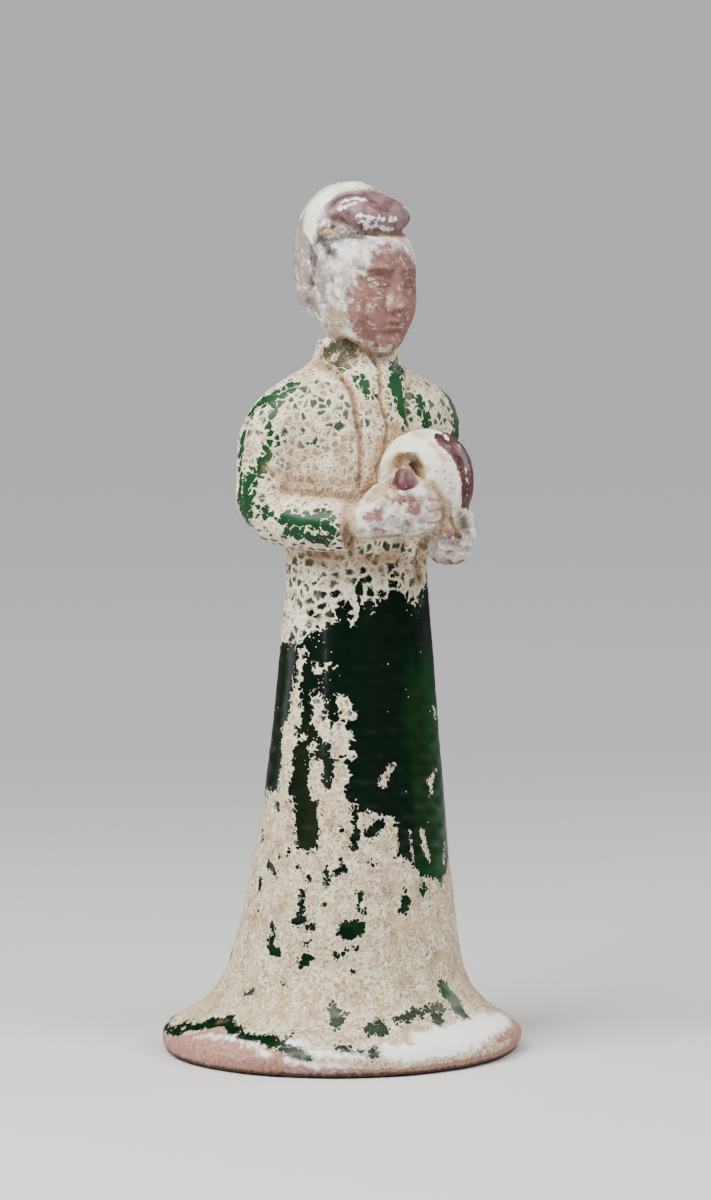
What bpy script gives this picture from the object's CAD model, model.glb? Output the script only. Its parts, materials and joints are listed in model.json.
# A standing tomb attendant of worn glazed earthenware, modelled over its CAD solid and lit for a portrait.
import json
import math
import bpy
import numpy as np
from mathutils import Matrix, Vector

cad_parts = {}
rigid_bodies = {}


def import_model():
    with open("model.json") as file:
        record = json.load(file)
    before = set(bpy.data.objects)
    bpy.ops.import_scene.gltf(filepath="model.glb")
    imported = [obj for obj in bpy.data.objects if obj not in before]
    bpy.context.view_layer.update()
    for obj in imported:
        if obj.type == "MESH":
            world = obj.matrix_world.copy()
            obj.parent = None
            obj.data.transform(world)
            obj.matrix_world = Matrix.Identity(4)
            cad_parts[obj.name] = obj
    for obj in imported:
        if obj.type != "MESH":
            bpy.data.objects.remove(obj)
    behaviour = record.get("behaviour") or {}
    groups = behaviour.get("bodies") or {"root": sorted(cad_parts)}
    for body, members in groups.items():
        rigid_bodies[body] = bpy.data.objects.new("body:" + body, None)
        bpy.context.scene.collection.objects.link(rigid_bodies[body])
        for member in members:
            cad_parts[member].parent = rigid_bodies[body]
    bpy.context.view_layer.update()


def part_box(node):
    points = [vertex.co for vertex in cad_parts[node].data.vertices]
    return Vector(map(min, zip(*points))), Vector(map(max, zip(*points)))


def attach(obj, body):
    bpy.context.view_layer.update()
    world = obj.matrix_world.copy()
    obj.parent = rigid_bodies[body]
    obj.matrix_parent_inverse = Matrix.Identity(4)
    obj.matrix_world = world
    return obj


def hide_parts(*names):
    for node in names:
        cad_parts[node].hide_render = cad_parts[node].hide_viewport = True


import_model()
low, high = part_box("attendant_figure")
mm = (high[2] - low[2]) / 359.8  # the forms are drawn in millimetres for a figure this tall
print("frame loaded, one drawn millimetre is", round(mm, 6), "m")


# Vectors brought to length one: each divided by its own length.
def unit(vectors):
    return vectors / np.maximum(np.linalg.norm(vectors, axis=-1, keepdims=True), 1e-12)


# Smooth step from 0 at `first` to 1 at `last`: 3t^2 - 2t^3.
def ease(x, first, last):
    t = np.clip((x - first) / (last - first), 0, 1)
    return t * t * (3 - 2 * t)


# Turns all the way round, in radians.
def around(columns):
    return 2 * np.pi * np.arange(columns) / columns


# Places from their three coordinates, each a number, a row, a column or a grid.
def space(x, y, z):
    return np.stack(np.broadcast_arrays(x, y, z), -1)


# A cosine or sine pushed towards a square: its sign times its size to the power 2 / fullness.
def full(value, fullness):
    return np.sign(value) * np.abs(value) ** (2 / fullness)


# Column `column` of a table at places `x` of its first column: cubic Hermite steps, each knot's slope
# being the rise over the run of its two neighbours.
def readTable(table, x, column):
    table = np.asarray(table, float)
    knots, values = table[:, 0], table[:, column]
    slopes = np.empty_like(values)
    slopes[1:-1] = (values[2:] - values[:-2]) / (knots[2:] - knots[:-2])
    slopes[0] = (values[1] - values[0]) / (knots[1] - knots[0])
    slopes[-1] = (values[-1] - values[-2]) / (knots[-1] - knots[-2])
    at = np.clip(x, knots[0], knots[-1])
    i = np.clip(np.searchsorted(knots, at, side="right") - 1, 0, len(knots) - 2)
    step = knots[i + 1] - knots[i]
    t = (at - knots[i]) / step
    return (values[i] * (1 + 2 * t) * (1 - t) ** 2 + slopes[i] * step * t * (1 - t) ** 2
            + values[i + 1] * t * t * (3 - 2 * t) + slopes[i + 1] * step * t * t * (t - 1))


# Places and directions along a curve through `points` for s from 0 to 1: centripetal Catmull-Rom, each
# span being a Hermite cubic whose end slopes are weighted by the square roots of the spans' lengths.
def alongCurve(points, s):
    points = np.asarray(points, float)
    ends = np.vstack([2 * points[0] - points[1], points, 2 * points[-1] - points[-2]])
    at = s * (len(points) - 1)
    i = np.clip(at.astype(int), 0, len(points) - 2)
    t = (at - i)[:, None]
    p0, p1, p2, p3 = ends[i], ends[i + 1], ends[i + 2], ends[i + 3]
    spans = (p0, p1), (p1, p2), (p2, p3)
    d0, d1, d2 = [np.sqrt(np.linalg.norm(b - a, axis=1))[:, None] for a, b in spans]
    m1 = ((p1 - p0) / d0 - (p2 - p0) / (d0 + d1) + (p2 - p1) / d1) * d1
    m2 = ((p2 - p1) / d1 - (p3 - p1) / (d1 + d2) + (p3 - p2) / d2) * d1
    place = (p1 * (1 + 2 * t) * (1 - t) ** 2 + m1 * t * (1 - t) ** 2
             + p2 * t * t * (3 - 2 * t) + m2 * t * t * (t - 1))
    way = (6 * t * (t - 1) * (p1 - p2) + m1 * (1 - t) * (1 - 3 * t) + m2 * t * (3 * t - 2))
    return place, unit(way)


# A closed skin from rings: points is rows x columns x 3, each ring closes on itself, and one point in
# the middle closes each end. Gives the places and the triangles.
def closeRings(points):
    rows, columns = points.shape[:2]
    i = np.arange(columns)
    j = np.arange(rows - 1)[:, None] * columns
    a, b = j + i, j + (i + 1) % columns
    sides = np.stack([a, b, b + columns, a, b + columns, a + columns], -1).reshape(-1, 3)
    first, last = rows * columns, rows * columns + 1
    top = (rows - 1) * columns
    bottomFan = np.stack([np.full(columns, first), (i + 1) % columns, i], 1)
    topFan = np.stack([np.full(columns, last), top + i, top + (i + 1) % columns], 1)
    places = np.vstack([points.reshape(-1, 3), points[0].mean(0), points[-1].mean(0)])
    return places, np.vstack([sides, bottomFan, topFan])


# A limb: an oval section carried along a curve. `wide` is its half size along `level`, `thick` across
# it, and both run down to nothing over the rounded ends as a quarter circle does. `press` may take
# something off the width, as a function of the share along the limb and of the turn's sine.
def limb(form, columns=96, rows=110, press=None):
    line = np.asarray(form["line"], float)
    knots = np.linspace(0, 1, len(line))
    wide = form.get("wide", form.get("radius"))
    thick = form.get("thick", form.get("radius"))
    sizes = np.column_stack([knots, wide, thick])
    s = (1 - np.cos(np.pi * np.linspace(0, 1, rows))) / 2
    place, way = alongCurve(line, s)
    length = np.linalg.norm(np.diff(place, axis=0), axis=1).sum()
    roundShare = min(0.4, (wide[0] + wide[-1]) / 2 / length)
    fromEnd = np.minimum(s, 1 - s) / roundShare
    roundOff = np.sqrt(np.clip(1 - np.clip(1 - fromEnd, 0, 1) ** 2, 0.0004, 1))
    over = unit(np.cross(way, form["level"]))
    side = np.cross(over, way)
    turn = around(columns)
    across = (readTable(sizes, s, 1) * roundOff)[:, None] * np.ones(columns)
    if press is not None:
        across = across - press(s[:, None], np.sin(turn)[None, :]) * roundOff[:, None]
    upward = (readTable(sizes, s, 2) * roundOff)[:, None]
    points = (place[:, None, :] - side[:, None, :] * (across * np.cos(turn))[..., None]
              - over[:, None, :] * (upward * np.sin(turn))[..., None])
    return closeRings(points)


# An egg of half sizes `half`, its outline fuller than an ellipsoid's where fullness is over 2: each
# coordinate is its half size times full cosines and sines of the turn and the rise.
def egg(half, fullness, columns=128, rows=96):
    turn = around(columns)
    rise = (np.linspace(0, 1, rows)[:, None] - 0.5) * np.pi * 0.995
    flat = full(np.cos(rise), fullness)
    return closeRings(space(
        half[0] * full(np.cos(turn), fullness) * flat,
        half[1] * full(np.sin(turn), fullness) * flat,
        half[2] * full(np.sin(rise), fullness),
    ))


# Places turned about the upright axis by `angle` and then moved.
def turned(places, angle, shift):
    c, s = math.cos(angle), math.sin(angle)
    x, y, z = places.T
    return np.column_stack([c * x - s * y, s * x + c * y, z]) + shift


# Distance from each place to a broken line in space, and the share along the line of its nearest point.
# Places more than `reach` outside the line's box are given as that far away.
def nearLine(allPlaces, line, reach=1e9):
    line = np.asarray(line, float)
    close = ((allPlaces > line.min(0) - reach) & (allPlaces < line.max(0) + reach)).all(1)
    places = allPlaces[close]
    best = np.full(len(places), 1e9)
    share = np.zeros(len(places))
    length = np.concatenate([[0], np.cumsum(np.linalg.norm(np.diff(line, axis=0), axis=1))])
    for k in range(len(line) - 1):
        span = line[k + 1] - line[k]
        if not span.any():
            continue
        t = np.clip((places - line[k]) @ span / (span @ span), 0, 1)
        distance = np.linalg.norm(places - line[k] - t[:, None] * span, axis=1)
        nearer = distance < best
        best[nearer] = distance[nearer]
        share[nearer] = ((length[k] + t * (length[k + 1] - length[k])) / length[-1])[nearer]
    allBest, allShare = np.full(len(allPlaces), float(reach)), np.zeros(len(allPlaces))
    allBest[close], allShare[close] = best, share
    return allBest, allShare


# A soft unevenness between about -1 and 1: a sum of sine waves in fixed scattered directions, whose
# length falls from `size` by a factor of 1.25 each time.
def unevenness(places, size, waves=9, seed=3):
    chance = np.random.default_rng(seed)
    total = np.zeros(len(places))
    for k in range(waves):
        way = unit(chance.normal(size=3))
        length = size / 1.25 ** k
        total += np.sin(places @ way * 2 * np.pi / length + chance.uniform(0, 2 * np.pi)) / (k + 2) ** 0.5
    return total / 2.6


robeShape = {
    "hemThickness": 8,
    "hemHalfWidth": 75,
    "hemHalfDepth": 72,
    "fullness": 2.15,
    # height above the hem's top, half width, half depth, middle forward or back
    "sections": [
        [0, 74.6, 71.6, 0], [2, 72.5, 70, -0.2], [5, 68.5, 66, -0.5], [10, 60.6, 58.6, -1],
        [16, 54.6, 52, -1.5], [23, 50.8, 47.5, -2], [30, 48.6, 44.8, -2.8], [42, 46, 41.8, -4.2],
        [56, 43.9, 38.9, -5.8], [74, 41.2, 35.5, -7.6], [100, 38.4, 31.8, -9.4], [135, 35.2, 27.5, -10.8],
        [165, 32.8, 24.8, -11.2], [190, 30.7, 22.8, -11.3], [204, 31, 22.8, -11.3], [226, 34, 24, -11.2],
        [242, 38, 24, -11], [252, 43, 23.4, -10.9], [258, 45.6, 22.4, -10.8], [262.5, 44.6, 21, -10.7],
        [267, 39.6, 19.2, -10.5], [270.5, 33.6, 17.8, -10.2], [273.3, 27.4, 16.8, -9.8],
        [276, 21.6, 16, -9.4], [279.5, 15.6, 14.4, -9.4], [283, 12, 12, -9.4],
    ],
    # the upper arms as level slices: height above the hem's top, distance out, middle, radius
    "armSlices": [
        [201.6, 26, -12, 0], [203, 29.6, -12, 3], [205, 33.4, -11.6, 5.8], [208, 36.4, -11, 8.4],
        [211.6, 39, -10, 10.6], [216, 40.8, -9.2, 12], [222, 41.8, -8.6, 12.6], [230, 41.6, -8.6, 12.6],
        [238, 41, -8.8, 13], [244, 40.4, -9.2, 13.4], [250, 39.2, -9.8, 13.6], [255, 37.4, -10.2, 13],
        [260, 32.6, -10.4, 11.2], [264, 27, -10.5, 8], [267, 22, -10.5, 4],
    ],
    "leftArmCloser": 4.2,
    "armMelt": 10,
    "armFall": 1,
}


# How far the robe reaches from its middle, in each level direction and at each height above the hem's
# top: to a superellipse, or to the circle of an upper arm where that is further, the two blended where
# they are close. Gives the reach and the middle's own place forward or back.
def robeReach(sine, cosine, heights):
    shape = robeShape
    halfWidth, halfDepth, middle = [readTable(shape["sections"], heights, c) for c in (1, 2, 3)]
    fullness = shape["fullness"]
    shares = np.abs(sine / halfWidth) ** fullness + np.abs(cosine / halfDepth) ** fullness
    reach = shares ** (-1 / fullness)
    slices = shape["armSlices"]
    inArms = (heights > slices[0][0]) & (heights < slices[-1][0])
    for side in (-1, 1):
        out = side * (readTable(slices, heights, 1) - (shape["leftArmCloser"] if side > 0 else 0))
        armMiddle = readTable(slices, heights, 2) - middle
        radius = np.maximum(readTable(slices, heights, 3), 0)
        along = sine * out - cosine * armMiddle
        beside = np.abs(sine * armMiddle + cosine * out)
        arm = (along + np.sqrt(np.maximum(radius ** 2 - beside ** 2, 0))
               - shape["armFall"] * np.maximum(beside - radius, 0))
        melt = shape["armMelt"]
        blended = np.maximum(reach, arm) + np.maximum(melt - np.abs(reach - arm), 0) ** 2 / (4 * melt)
        reach = np.where(inArms, blended, reach)
    return reach, middle


# The robe's skin on a grid of turn and height, over a half-round edge that rises from the underside.
def robeSkin(columns=640, rows=520):
    shape = robeShape
    thickness = shape["hemThickness"]
    turn = around(columns)
    heights = np.linspace(0, 283, rows)[:, None]
    reach, middle = robeReach(np.sin(turn), np.cos(turn), heights)
    body = space(reach * np.sin(turn), middle - reach * np.cos(turn), heights + thickness)
    bend = np.linspace(0, np.pi / 2, 12)[:, None]
    inset = 2.4 * (1 - np.sin(bend))
    edge = space(
        (shape["hemHalfWidth"] - inset) * np.sin(turn),
        -(shape["hemHalfDepth"] - inset) * np.cos(turn),
        thickness * 0.45 * (1 - np.cos(bend)),
    )
    return closeRings(np.concatenate([edge, body]))


sleeves = [
    {
        "line": [[-41, -5, 223.4], [-39.2, -15, 222.2], [-35, -24.6, 220.8], [-29, -33.4, 220],
                 [-22.6, -42.4, 219.8]],
        "radius": [9.8, 10.4, 10.4, 10.4, 9.8],
    },
    {
        "line": [[37.4, -5, 222], [36.6, -15, 219.6], [33.8, -25, 217], [30.8, -33.6, 215.4],
                 [27.6, -41.4, 214.4]],
        "radius": [9.8, 10.4, 10.4, 10, 9.2],
    },
]
cuff = {"wall": 1.5, "depth": 2.2, "lip": 1.4}


# A forearm's sleeve: a round section carried along its line, rounded over at the cuff's lip, then back
# inside by the cuff's depth at the radius less the wall, so that the end is open round the wrist.
def sleeve(form, columns=120, rows=90):
    line = np.asarray(form["line"], float)
    sizes = np.column_stack([np.linspace(0, 1, len(line)), form["radius"]])
    length = np.linalg.norm(np.diff(line, axis=0), axis=1).sum()
    lip, depth, wall = cuff["lip"], cuff["depth"], cuff["wall"]
    end = form["radius"][-1]
    out = np.linspace(0, 1, rows)
    bend = np.linspace(0, np.pi, 14)[1:]
    s = np.concatenate([
        out * (1 - lip / length),
        1 - lip / length * (1 - np.sin(bend)),
        [1 - depth / length],
    ])
    radius = np.concatenate([
        readTable(sizes, out, 1) * np.sqrt(np.clip(1 - (1 - np.minimum(out / 0.2, 1)) ** 2, 0.001, 1)),
        end - wall / 2 + wall / 2 * np.cos(bend),
        [end - wall - 0.6],
    ])
    place, way = alongCurve(line, s)
    over = unit(np.cross(way, [0, 0, 1.0]))
    side = np.cross(over, way)
    turn = around(columns)
    points = (place[:, None, :] - side[:, None, :] * (radius[:, None] * np.cos(turn))[..., None]
              - over[:, None, :] * (radius[:, None] * np.sin(turn))[..., None])
    return closeRings(points)


rightHand = {
    "palm": {
        "line": [[-25, -41.4, 221], [-18, -48, 222.4], [-10.4, -53.2, 224.8], [-3, -57, 227],
                 [3.4, -59.4, 228.4], [8.2, -60, 228.6]],
        "wide": [6.4, 6.6, 6.8, 6.6, 5.4, 4.2],
        "thick": [7.4, 8.2, 10.1, 11.6, 11.3, 9.2],
        "level": [0, 1, 0],
    },
    "thumb": {
        "line": [[-19.4, -46.2, 224], [-16, -48.4, 230.6], [-11, -49.6, 237]],
        "radius": [4.8, 4.4, 3.2],
        "level": [0, 1, 0],
    },
}
leftHand = {
    "palm": {
        "line": [[29, -37, 214.4], [26, -43, 212.2], [21, -48.6, 211], [15.6, -53.2, 211.4]],
        "wide": [6, 8.6, 9.6, 7.4],
        "thick": [5.8, 7.6, 8.2, 6.4],
        "level": [1, 0, 0],
    },
    "fingers": {
        "line": [[18.6, -48.2, 208], [23.6, -51, 210], [25.8, -53.2, 216],
                 [25.6, -53.2, 222.4], [24.6, -52.8, 227]],
        "wide": [4.4, 4, 3.6, 3.2, 2.4],
        "thick": [6.6, 8, 8.8, 8.6, 6.6],
        "level": [0.95, -0.31, 0],
    },
    "thumb": {
        "line": [[16, -52, 208.8], [12.6, -57.6, 212], [11.8, -59.4, 216.4], [12.4, -60.4, 221.4]],
        "radius": [4, 3.8, 3.4, 2.6],
        "level": [1, 0, 0],
    },
    "heel": {
        "line": [[16, -51, 211], [20.6, -51.5, 215], [22, -52, 221]],
        "radius": [6, 7, 6],
        "level": [1, 0, 0],
    },
}
hat = {
    "middle": [9.3, -48.6, 237.6],
    "half": [20, 16.4, 21.5],
    "fullness": 2.15,
    "hollowMiddle": [-7, -57.2, 239],
    "hollowHalf": [9.6, 9.6, 10],
    "knob": {
        "line": [[-5, -55.8, 231], [-5.8, -56, 237.4], [-5.4, -55.8, 246]],
        "radius": [6.8, 5.7, 2.2],
        "level": [0, 1, 0],
    },
}
robeTip = {
    "line": [[5, -47, 220], [6, -43.4, 213], [8.6, -38.4, 204]],
    "radius": [3.6, 3, 1],
    "level": [1, 0, 0],
}


# Four fingers pressed into a limb: grooves where the sine of the turn is -1/2, 0 and 1/2, as the square
# of a cosine, coming in past the share `start` of its length.
def fingerGrooves(start, depth):
    def press(s, sine):
        return depth * ease(s, start, start + 0.18) * np.cos(2 * np.pi * sine) ** 8 * (np.abs(sine) < 0.75)
    return press


# The hat, star shaped about its middle: each ray stops at the full egg, or sooner where it meets the
# hollow's ellipsoid.
def hatSkin(columns=200, rows=150):
    middle, half = np.array(hat["middle"]), np.array(hat["half"])
    away = unit(np.array(hat["hollowMiddle"]) - middle)
    side = unit(np.cross([0, 0, 1.0], away))
    over = np.cross(away, side)
    turn = around(columns)
    tilt = np.linspace(np.pi * 0.998, 0.004, rows)[:, None]
    aside = side * np.cos(turn)[..., None] + over * np.sin(turn)[..., None]
    ray = away * np.cos(tilt)[..., None] + aside * np.sin(tilt)[..., None]
    reach = (np.abs(ray / half) ** hat["fullness"]).sum(-1) ** (-1 / hat["fullness"])
    hollow = np.array(hat["hollowHalf"])
    start = (middle - hat["hollowMiddle"]) / hollow
    step = ray / hollow
    a, b, c = (step ** 2).sum(-1), (step * start).sum(-1), (start ** 2).sum() - 1
    inside = b ** 2 - a * c
    meets = (inside > 0) & (b < 0)
    near = np.where(meets, (-b - np.sqrt(np.maximum(inside, 0))) / a, 1e9)
    return closeRings(middle + ray * np.minimum(reach, near)[..., None])


headShape = {
    "middle": [0.8, -12.4, 0],
    "turn": math.radians(9),
    "chinHeight": 290,
    "fullness": 2.2,
    # height above the chin, half width, forward depth, backward depth
    "sections": [
        [0, 5.6, 17, -4], [2.4, 10.4, 20, 3], [6.6, 14.4, 21.4, 9], [13, 18.6, 22.2, 14],
        [21, 21.4, 22.4, 18], [29, 22.4, 22.6, 20], [38, 22.2, 22.2, 20.5], [46, 19.6, 19.4, 18.5],
        [52, 14, 14, 14], [56, 7, 7, 8],
    ],
    "neck": {"radius": 11.4, "bottom": 274, "top": 302, "backward": 3},
    "ear": {"out": 21.6, "back": 9, "height": 318, "half": [2.4, 4.4, 9.6], "lean": math.radians(8)},
}
hair = {
    "back": 6.2,
    "height": 329,
    "half": [22.4, 22, 30.8],
    "fullness": 2.25,
    "browForward": 4.6,
    "browHeight": 337.5,
    "browLean": math.radians(-12),
    "topknot": {
        "line": [[0, 8, 347], [0, 1, 348.6], [0, -7, 347.2], [0, -14.4, 343.8], [0, -19.2, 341.4]],
        "wide": [11, 15.6, 16.6, 15.6, 13],
        "thick": [5, 6.6, 7.4, 7.4, 6],
        "level": [1, 0, 0],
    },
    "roll": {
        "line": [[-19, 4.5, 335.6], [-18, 7.8, 342], [-15.8, 7.8, 347.6], [-12, 5, 352],
                 [-6.6, 1.8, 355], [0, 0.6, 355.8], [6.6, 2.6, 353.4], [12, 6.4, 349.6],
                 [15.8, 8.6, 345.4], [18, 7.8, 341], [19, 4.5, 335.6]],
        "radius": [2.4, 4, 4.6, 4.6, 4.2, 4, 4.2, 4.6, 4.6, 4, 2.4],
        "level": [0, 1, 0],
    },
}
collar = {
    "radius": 18.8,
    "lean": 3.4,
    "wall": 2.4,
    "bottom": 280,
    "top": 295.6,
    "dip": 11,  # how far the rim comes down in front
    "dipSpread": 0.8,  # the turn from the front, in radians, over which it does
}


# Places in the head's own frame, whose axis is upright and which faces -Y: moved to the axis, turned back.
def inHead(places):
    return turned(places - headShape["middle"], -headShape["turn"], 0)


# A skin made in the head's own frame, brought to where the head is: turned, then moved.
def ontoHead(skin):
    return turned(skin[0], headShape["turn"], np.array(headShape["middle"])), skin[1]


# The plain head: at each height a superellipse whose front and back halves have their own depth.
def headSkin(columns=240, rows=200):
    sections, fullness = headShape["sections"], headShape["fullness"]
    turn = around(columns)
    h = 56 * (0.5 - 0.5 * np.cos(np.pi * (0.02 + 0.96 * np.linspace(0, 1, rows)[:, None])))
    ahead = np.cos(turn)
    reach = np.where(ahead > 0, readTable(sections, h, 2), readTable(sections, h, 3))
    return ontoHead(closeRings(space(
        readTable(sections, h, 1) * full(np.sin(turn), fullness),
        -reach * full(ahead, fullness),
        headShape["chinHeight"] + h,
    )))


# The combed-up hair, star shaped about its middle: each ray stops at the full egg, or at the slanted
# plane of the brow line if that is nearer.
def hairSkin(columns=240, rows=200):
    middle = np.array([0, hair["back"], hair["height"]])
    turn = around(columns)
    rise = (np.linspace(0, 1, rows)[:, None] - 0.5) * np.pi * 0.995
    ray = space(np.cos(turn) * np.cos(rise), np.sin(turn) * np.cos(rise), np.sin(rise))
    reach = (np.abs(ray / np.array(hair["half"])) ** hair["fullness"]).sum(-1) ** (-1 / hair["fullness"])
    lean = hair["browLean"]
    outward = np.array([0, -math.cos(lean), -math.sin(lean)])  # the brow plane's own normal
    onPlane = np.array([0, -hair["browForward"], hair["browHeight"]])
    slope = (ray * outward).sum(-1)
    room = (onPlane - middle) @ outward
    plane = np.where(slope > 1e-3, room / np.maximum(slope, 1e-3), 1e9)
    below = middle[2] + ray[..., 2] * np.minimum(plane, 1e3) < hair["browHeight"] + 8
    return ontoHead(closeRings(middle + ray * np.where(below, np.minimum(reach, plane), reach)[..., None]))


# The neck: a plain round pipe that ends inside the head and inside the robe.
def neckSkin(columns=90):
    neck = headShape["neck"]
    turn = around(columns)
    heights = np.linspace(neck["bottom"], neck["top"], 30)[:, None]
    middle = headShape["middle"]
    return closeRings(space(
        middle[0] + neck["radius"] * np.sin(turn),
        middle[1] + neck["backward"] - neck["radius"] * np.cos(turn),
        heights,
    ))


# The ears: flat ovals on both sides of the head, each leaning back by the angle `lean`.
def earSkins():
    ear = headShape["ear"]
    places, faces = egg(ear["half"], 2, 60, 60)
    c, s = math.cos(ear["lean"]), math.sin(ear["lean"])
    x, y, z = places.T
    leaning = np.column_stack([x, c * y - s * z, s * y + c * z])
    shifts = [[side * ear["out"], ear["back"], ear["height"]] for side in (-1, 1)]
    return [ontoHead((leaning + shift, faces)) for shift in shifts]


# The collar: rings that lean in as they rise and turn over inside, their rim dipping towards the front.
def collarSkin(columns=300):
    radius, lean, wall = collar["radius"], collar["lean"], collar["wall"]
    profile = np.array([
        [radius, 0], [radius - lean * 0.2, 0.25], [radius - lean * 0.4, 0.5], [radius - lean * 0.65, 0.72],
        [radius - lean * 0.85, 0.9], [radius - lean - wall * 0.15, 0.985], [radius - lean - wall * 0.5, 1],
        [radius - lean - wall * 0.85, 0.97], [radius - lean - wall, 0.9], [radius - lean - wall * 1.2, 0.5],
    ])
    turn = around(columns)
    fromFront = np.minimum(turn, 2 * np.pi - turn)
    rim = collar["top"] - collar["dip"] * np.clip(1 - fromFront / collar["dipSpread"], 0, 1)
    reach, share = profile[:, :1], profile[:, 1:]
    middle = headShape["middle"]
    back = middle[1] + headShape["neck"]["backward"]
    up = collar["bottom"] + (rim - collar["bottom"]) * share
    return closeRings(space(middle[0] + reach * np.sin(turn), back - reach * np.cos(turn), up))


# The grain of the fused mesh at each height, in millimetres: coarse on the skirt, fine on the head.
meshGrain = [[0, 2.4], [150, 2.2], [198, 1.55], [284, 1.5], [300, 1.0], [365, 1.0]]


# Places measured in a size that changes with the height, as the table of heights and sizes says: level
# distances are divided by the size, and the height is the running sum of steps over the size. Gives them,
# and the heights of the steps with the size and the sum at each.
def byLocalSize(places, table, count):
    steps = np.linspace(-5, 370, count)
    size = np.interp(steps, *np.array(table, float).T)
    climb = np.concatenate([[0], np.cumsum(np.diff(steps) * 2 / (size[1:] + size[:-1]))])
    x, y, z = places.T
    local = np.interp(z, steps, size)
    return np.column_stack([x / local, y / local, np.interp(z, steps, climb)]), steps, size, climb


# The forms are joined, stretched so that one grain suits every height, remeshed as one closed volume, and
# stretched back.
def fuse(skins):
    places = np.vstack([skin[0] for skin in skins])
    starts = np.cumsum([0] + [len(skin[0]) for skin in skins[:-1]])
    faces = np.vstack([skin[1] + start for skin, start in zip(skins, starts)])
    stretched, steps, grain, climb = byLocalSize(places, meshGrain, 4000)
    unitSize = 0.01  # the remesher works on a body of this grain, in metres
    holder = meshObject("pressedForms", stretched * unitSize, faces)
    remesh = holder.modifiers.new("oneBody", "REMESH")
    remesh.mode = "VOXEL"
    remesh.voxel_size = unitSize
    fused = bpy.data.meshes.new_from_object(holder.evaluated_get(bpy.context.evaluated_depsgraph_get()))
    count = len(fused.vertices)
    flat = np.empty(count * 3)
    fused.vertices.foreach_get("co", flat)
    flat = flat.reshape(-1, 3) / unitSize
    heights = np.interp(flat[:, 2], climb, steps)
    local = np.interp(heights, steps, grain)
    corners = np.empty(len(fused.loops), np.int32)
    fused.loops.foreach_get("vertex_index", corners)
    sizes = np.empty(len(fused.polygons), np.int32)
    fused.polygons.foreach_get("loop_total", sizes)
    bpy.data.objects.remove(holder)
    bpy.data.meshes.remove(fused)
    if not (sizes == 4).all():
        print("the fused mesh has faces that aren't quads")
    return np.column_stack([flat[:, 0] * local, flat[:, 1] * local, heights]), corners.reshape(-1, 4)


# A mesh object from places and faces that all have the same number of corners.
def meshObject(name, places, faces):
    mesh = bpy.data.meshes.new(name)
    corners = faces.shape[1]
    mesh.vertices.add(len(places))
    mesh.vertices.foreach_set("co", np.asarray(places, np.float32).ravel())
    mesh.loops.add(faces.size)
    mesh.loops.foreach_set("vertex_index", faces.astype(np.int32).ravel())
    mesh.polygons.add(len(faces))
    mesh.polygons.foreach_set("loop_start", np.arange(len(faces), dtype=np.int32) * corners)
    mesh.update(calc_edges=True)
    mesh.validate()
    thing = bpy.data.objects.new(name, mesh)
    bpy.context.scene.collection.objects.link(thing)
    return thing


# A number for each side of each face, the same for both faces that share it: its lower corner times the
# count of places, plus its higher one.
def sideNumbers(faces, count):
    ends = np.stack([faces, np.roll(faces, -1, axis=1)], -1).reshape(-1, 2).astype(np.int64)
    return ends.min(1) * count + ends.max(1)


# The edges of a mesh whose faces all have the same number of corners, each once, as its two ends.
def edgesOf(faces, count):
    numbers = np.unique(sideNumbers(faces, count))
    return np.column_stack([numbers // count, numbers % count])


# Each place's outward direction: the sum, over the faces round it, of the cross products of the face's
# diagonals, or of two sides where it is a triangle.
def outwards(places, faces):
    one = places[faces[:, -2]] - places[faces[:, 0]]
    two = places[faces[:, -1]] - places[faces[:, 1]]
    total = [sum(np.bincount(corner, along, len(places)) for corner in faces.T)
             for along in np.cross(one, two).T]
    return unit(np.stack(total, 1))


# Mean of each place's neighbours along the edges.
def neighbourMean(values, edges):
    flat = values.reshape(len(values), -1)
    count = np.bincount(edges.ravel(), minlength=len(flat))
    one, two = edges.T
    total = np.stack([np.bincount(one, column[two], len(flat)) + np.bincount(two, column[one], len(flat))
                      for column in flat.T], 1)
    return (total / count[:, None]).reshape(values.shape)


# How firmly a place is held where the body stands on its underside: 0 at the bottom, 1 from 3 mm up.
def freeOfGround(places):
    return ease(places[:, 2], 0.6, 3)[:, None]


# Evens a mesh by pulling each place towards its neighbours' mean and pushing it out a little more, in
# turn, which keeps the body's size.
def even(places, edges, rounds):
    free = freeOfGround(places)
    for step in range(rounds):
        for amount in (0.5, -0.53):
            places = places + free * amount * (neighbourMean(places, edges) - places)
    return places


# Fills the creases, as wet clay does where two forms are pressed together.
def fillCreases(places, faces, edges, rounds):
    pull = neighbourMean(places, edges) - places
    hollow = np.clip((pull * outwards(places, faces)).sum(1) / 0.12, 0, 1)
    for step in range(3):
        hollow = np.maximum(hollow, neighbourMean(hollow, edges))
    free = freeOfGround(places)
    for step in range(rounds):
        places = places + free * 0.5 * hollow[:, None] * (neighbourMean(places, edges) - places)
    return places


# Cuts quads into triangles along their shorter diagonals.
def cutQuads(places, quads):
    a, b, c, d = quads.T
    first = np.linalg.norm(places[a] - places[c], axis=1) <= np.linalg.norm(places[b] - places[d], axis=1)
    one = np.where(first[:, None], np.stack([a, b, c], 1), np.stack([a, b, d], 1))
    two = np.where(first[:, None], np.stack([a, c, d], 1), np.stack([b, c, d], 1))
    return np.vstack([one, two])


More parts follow.
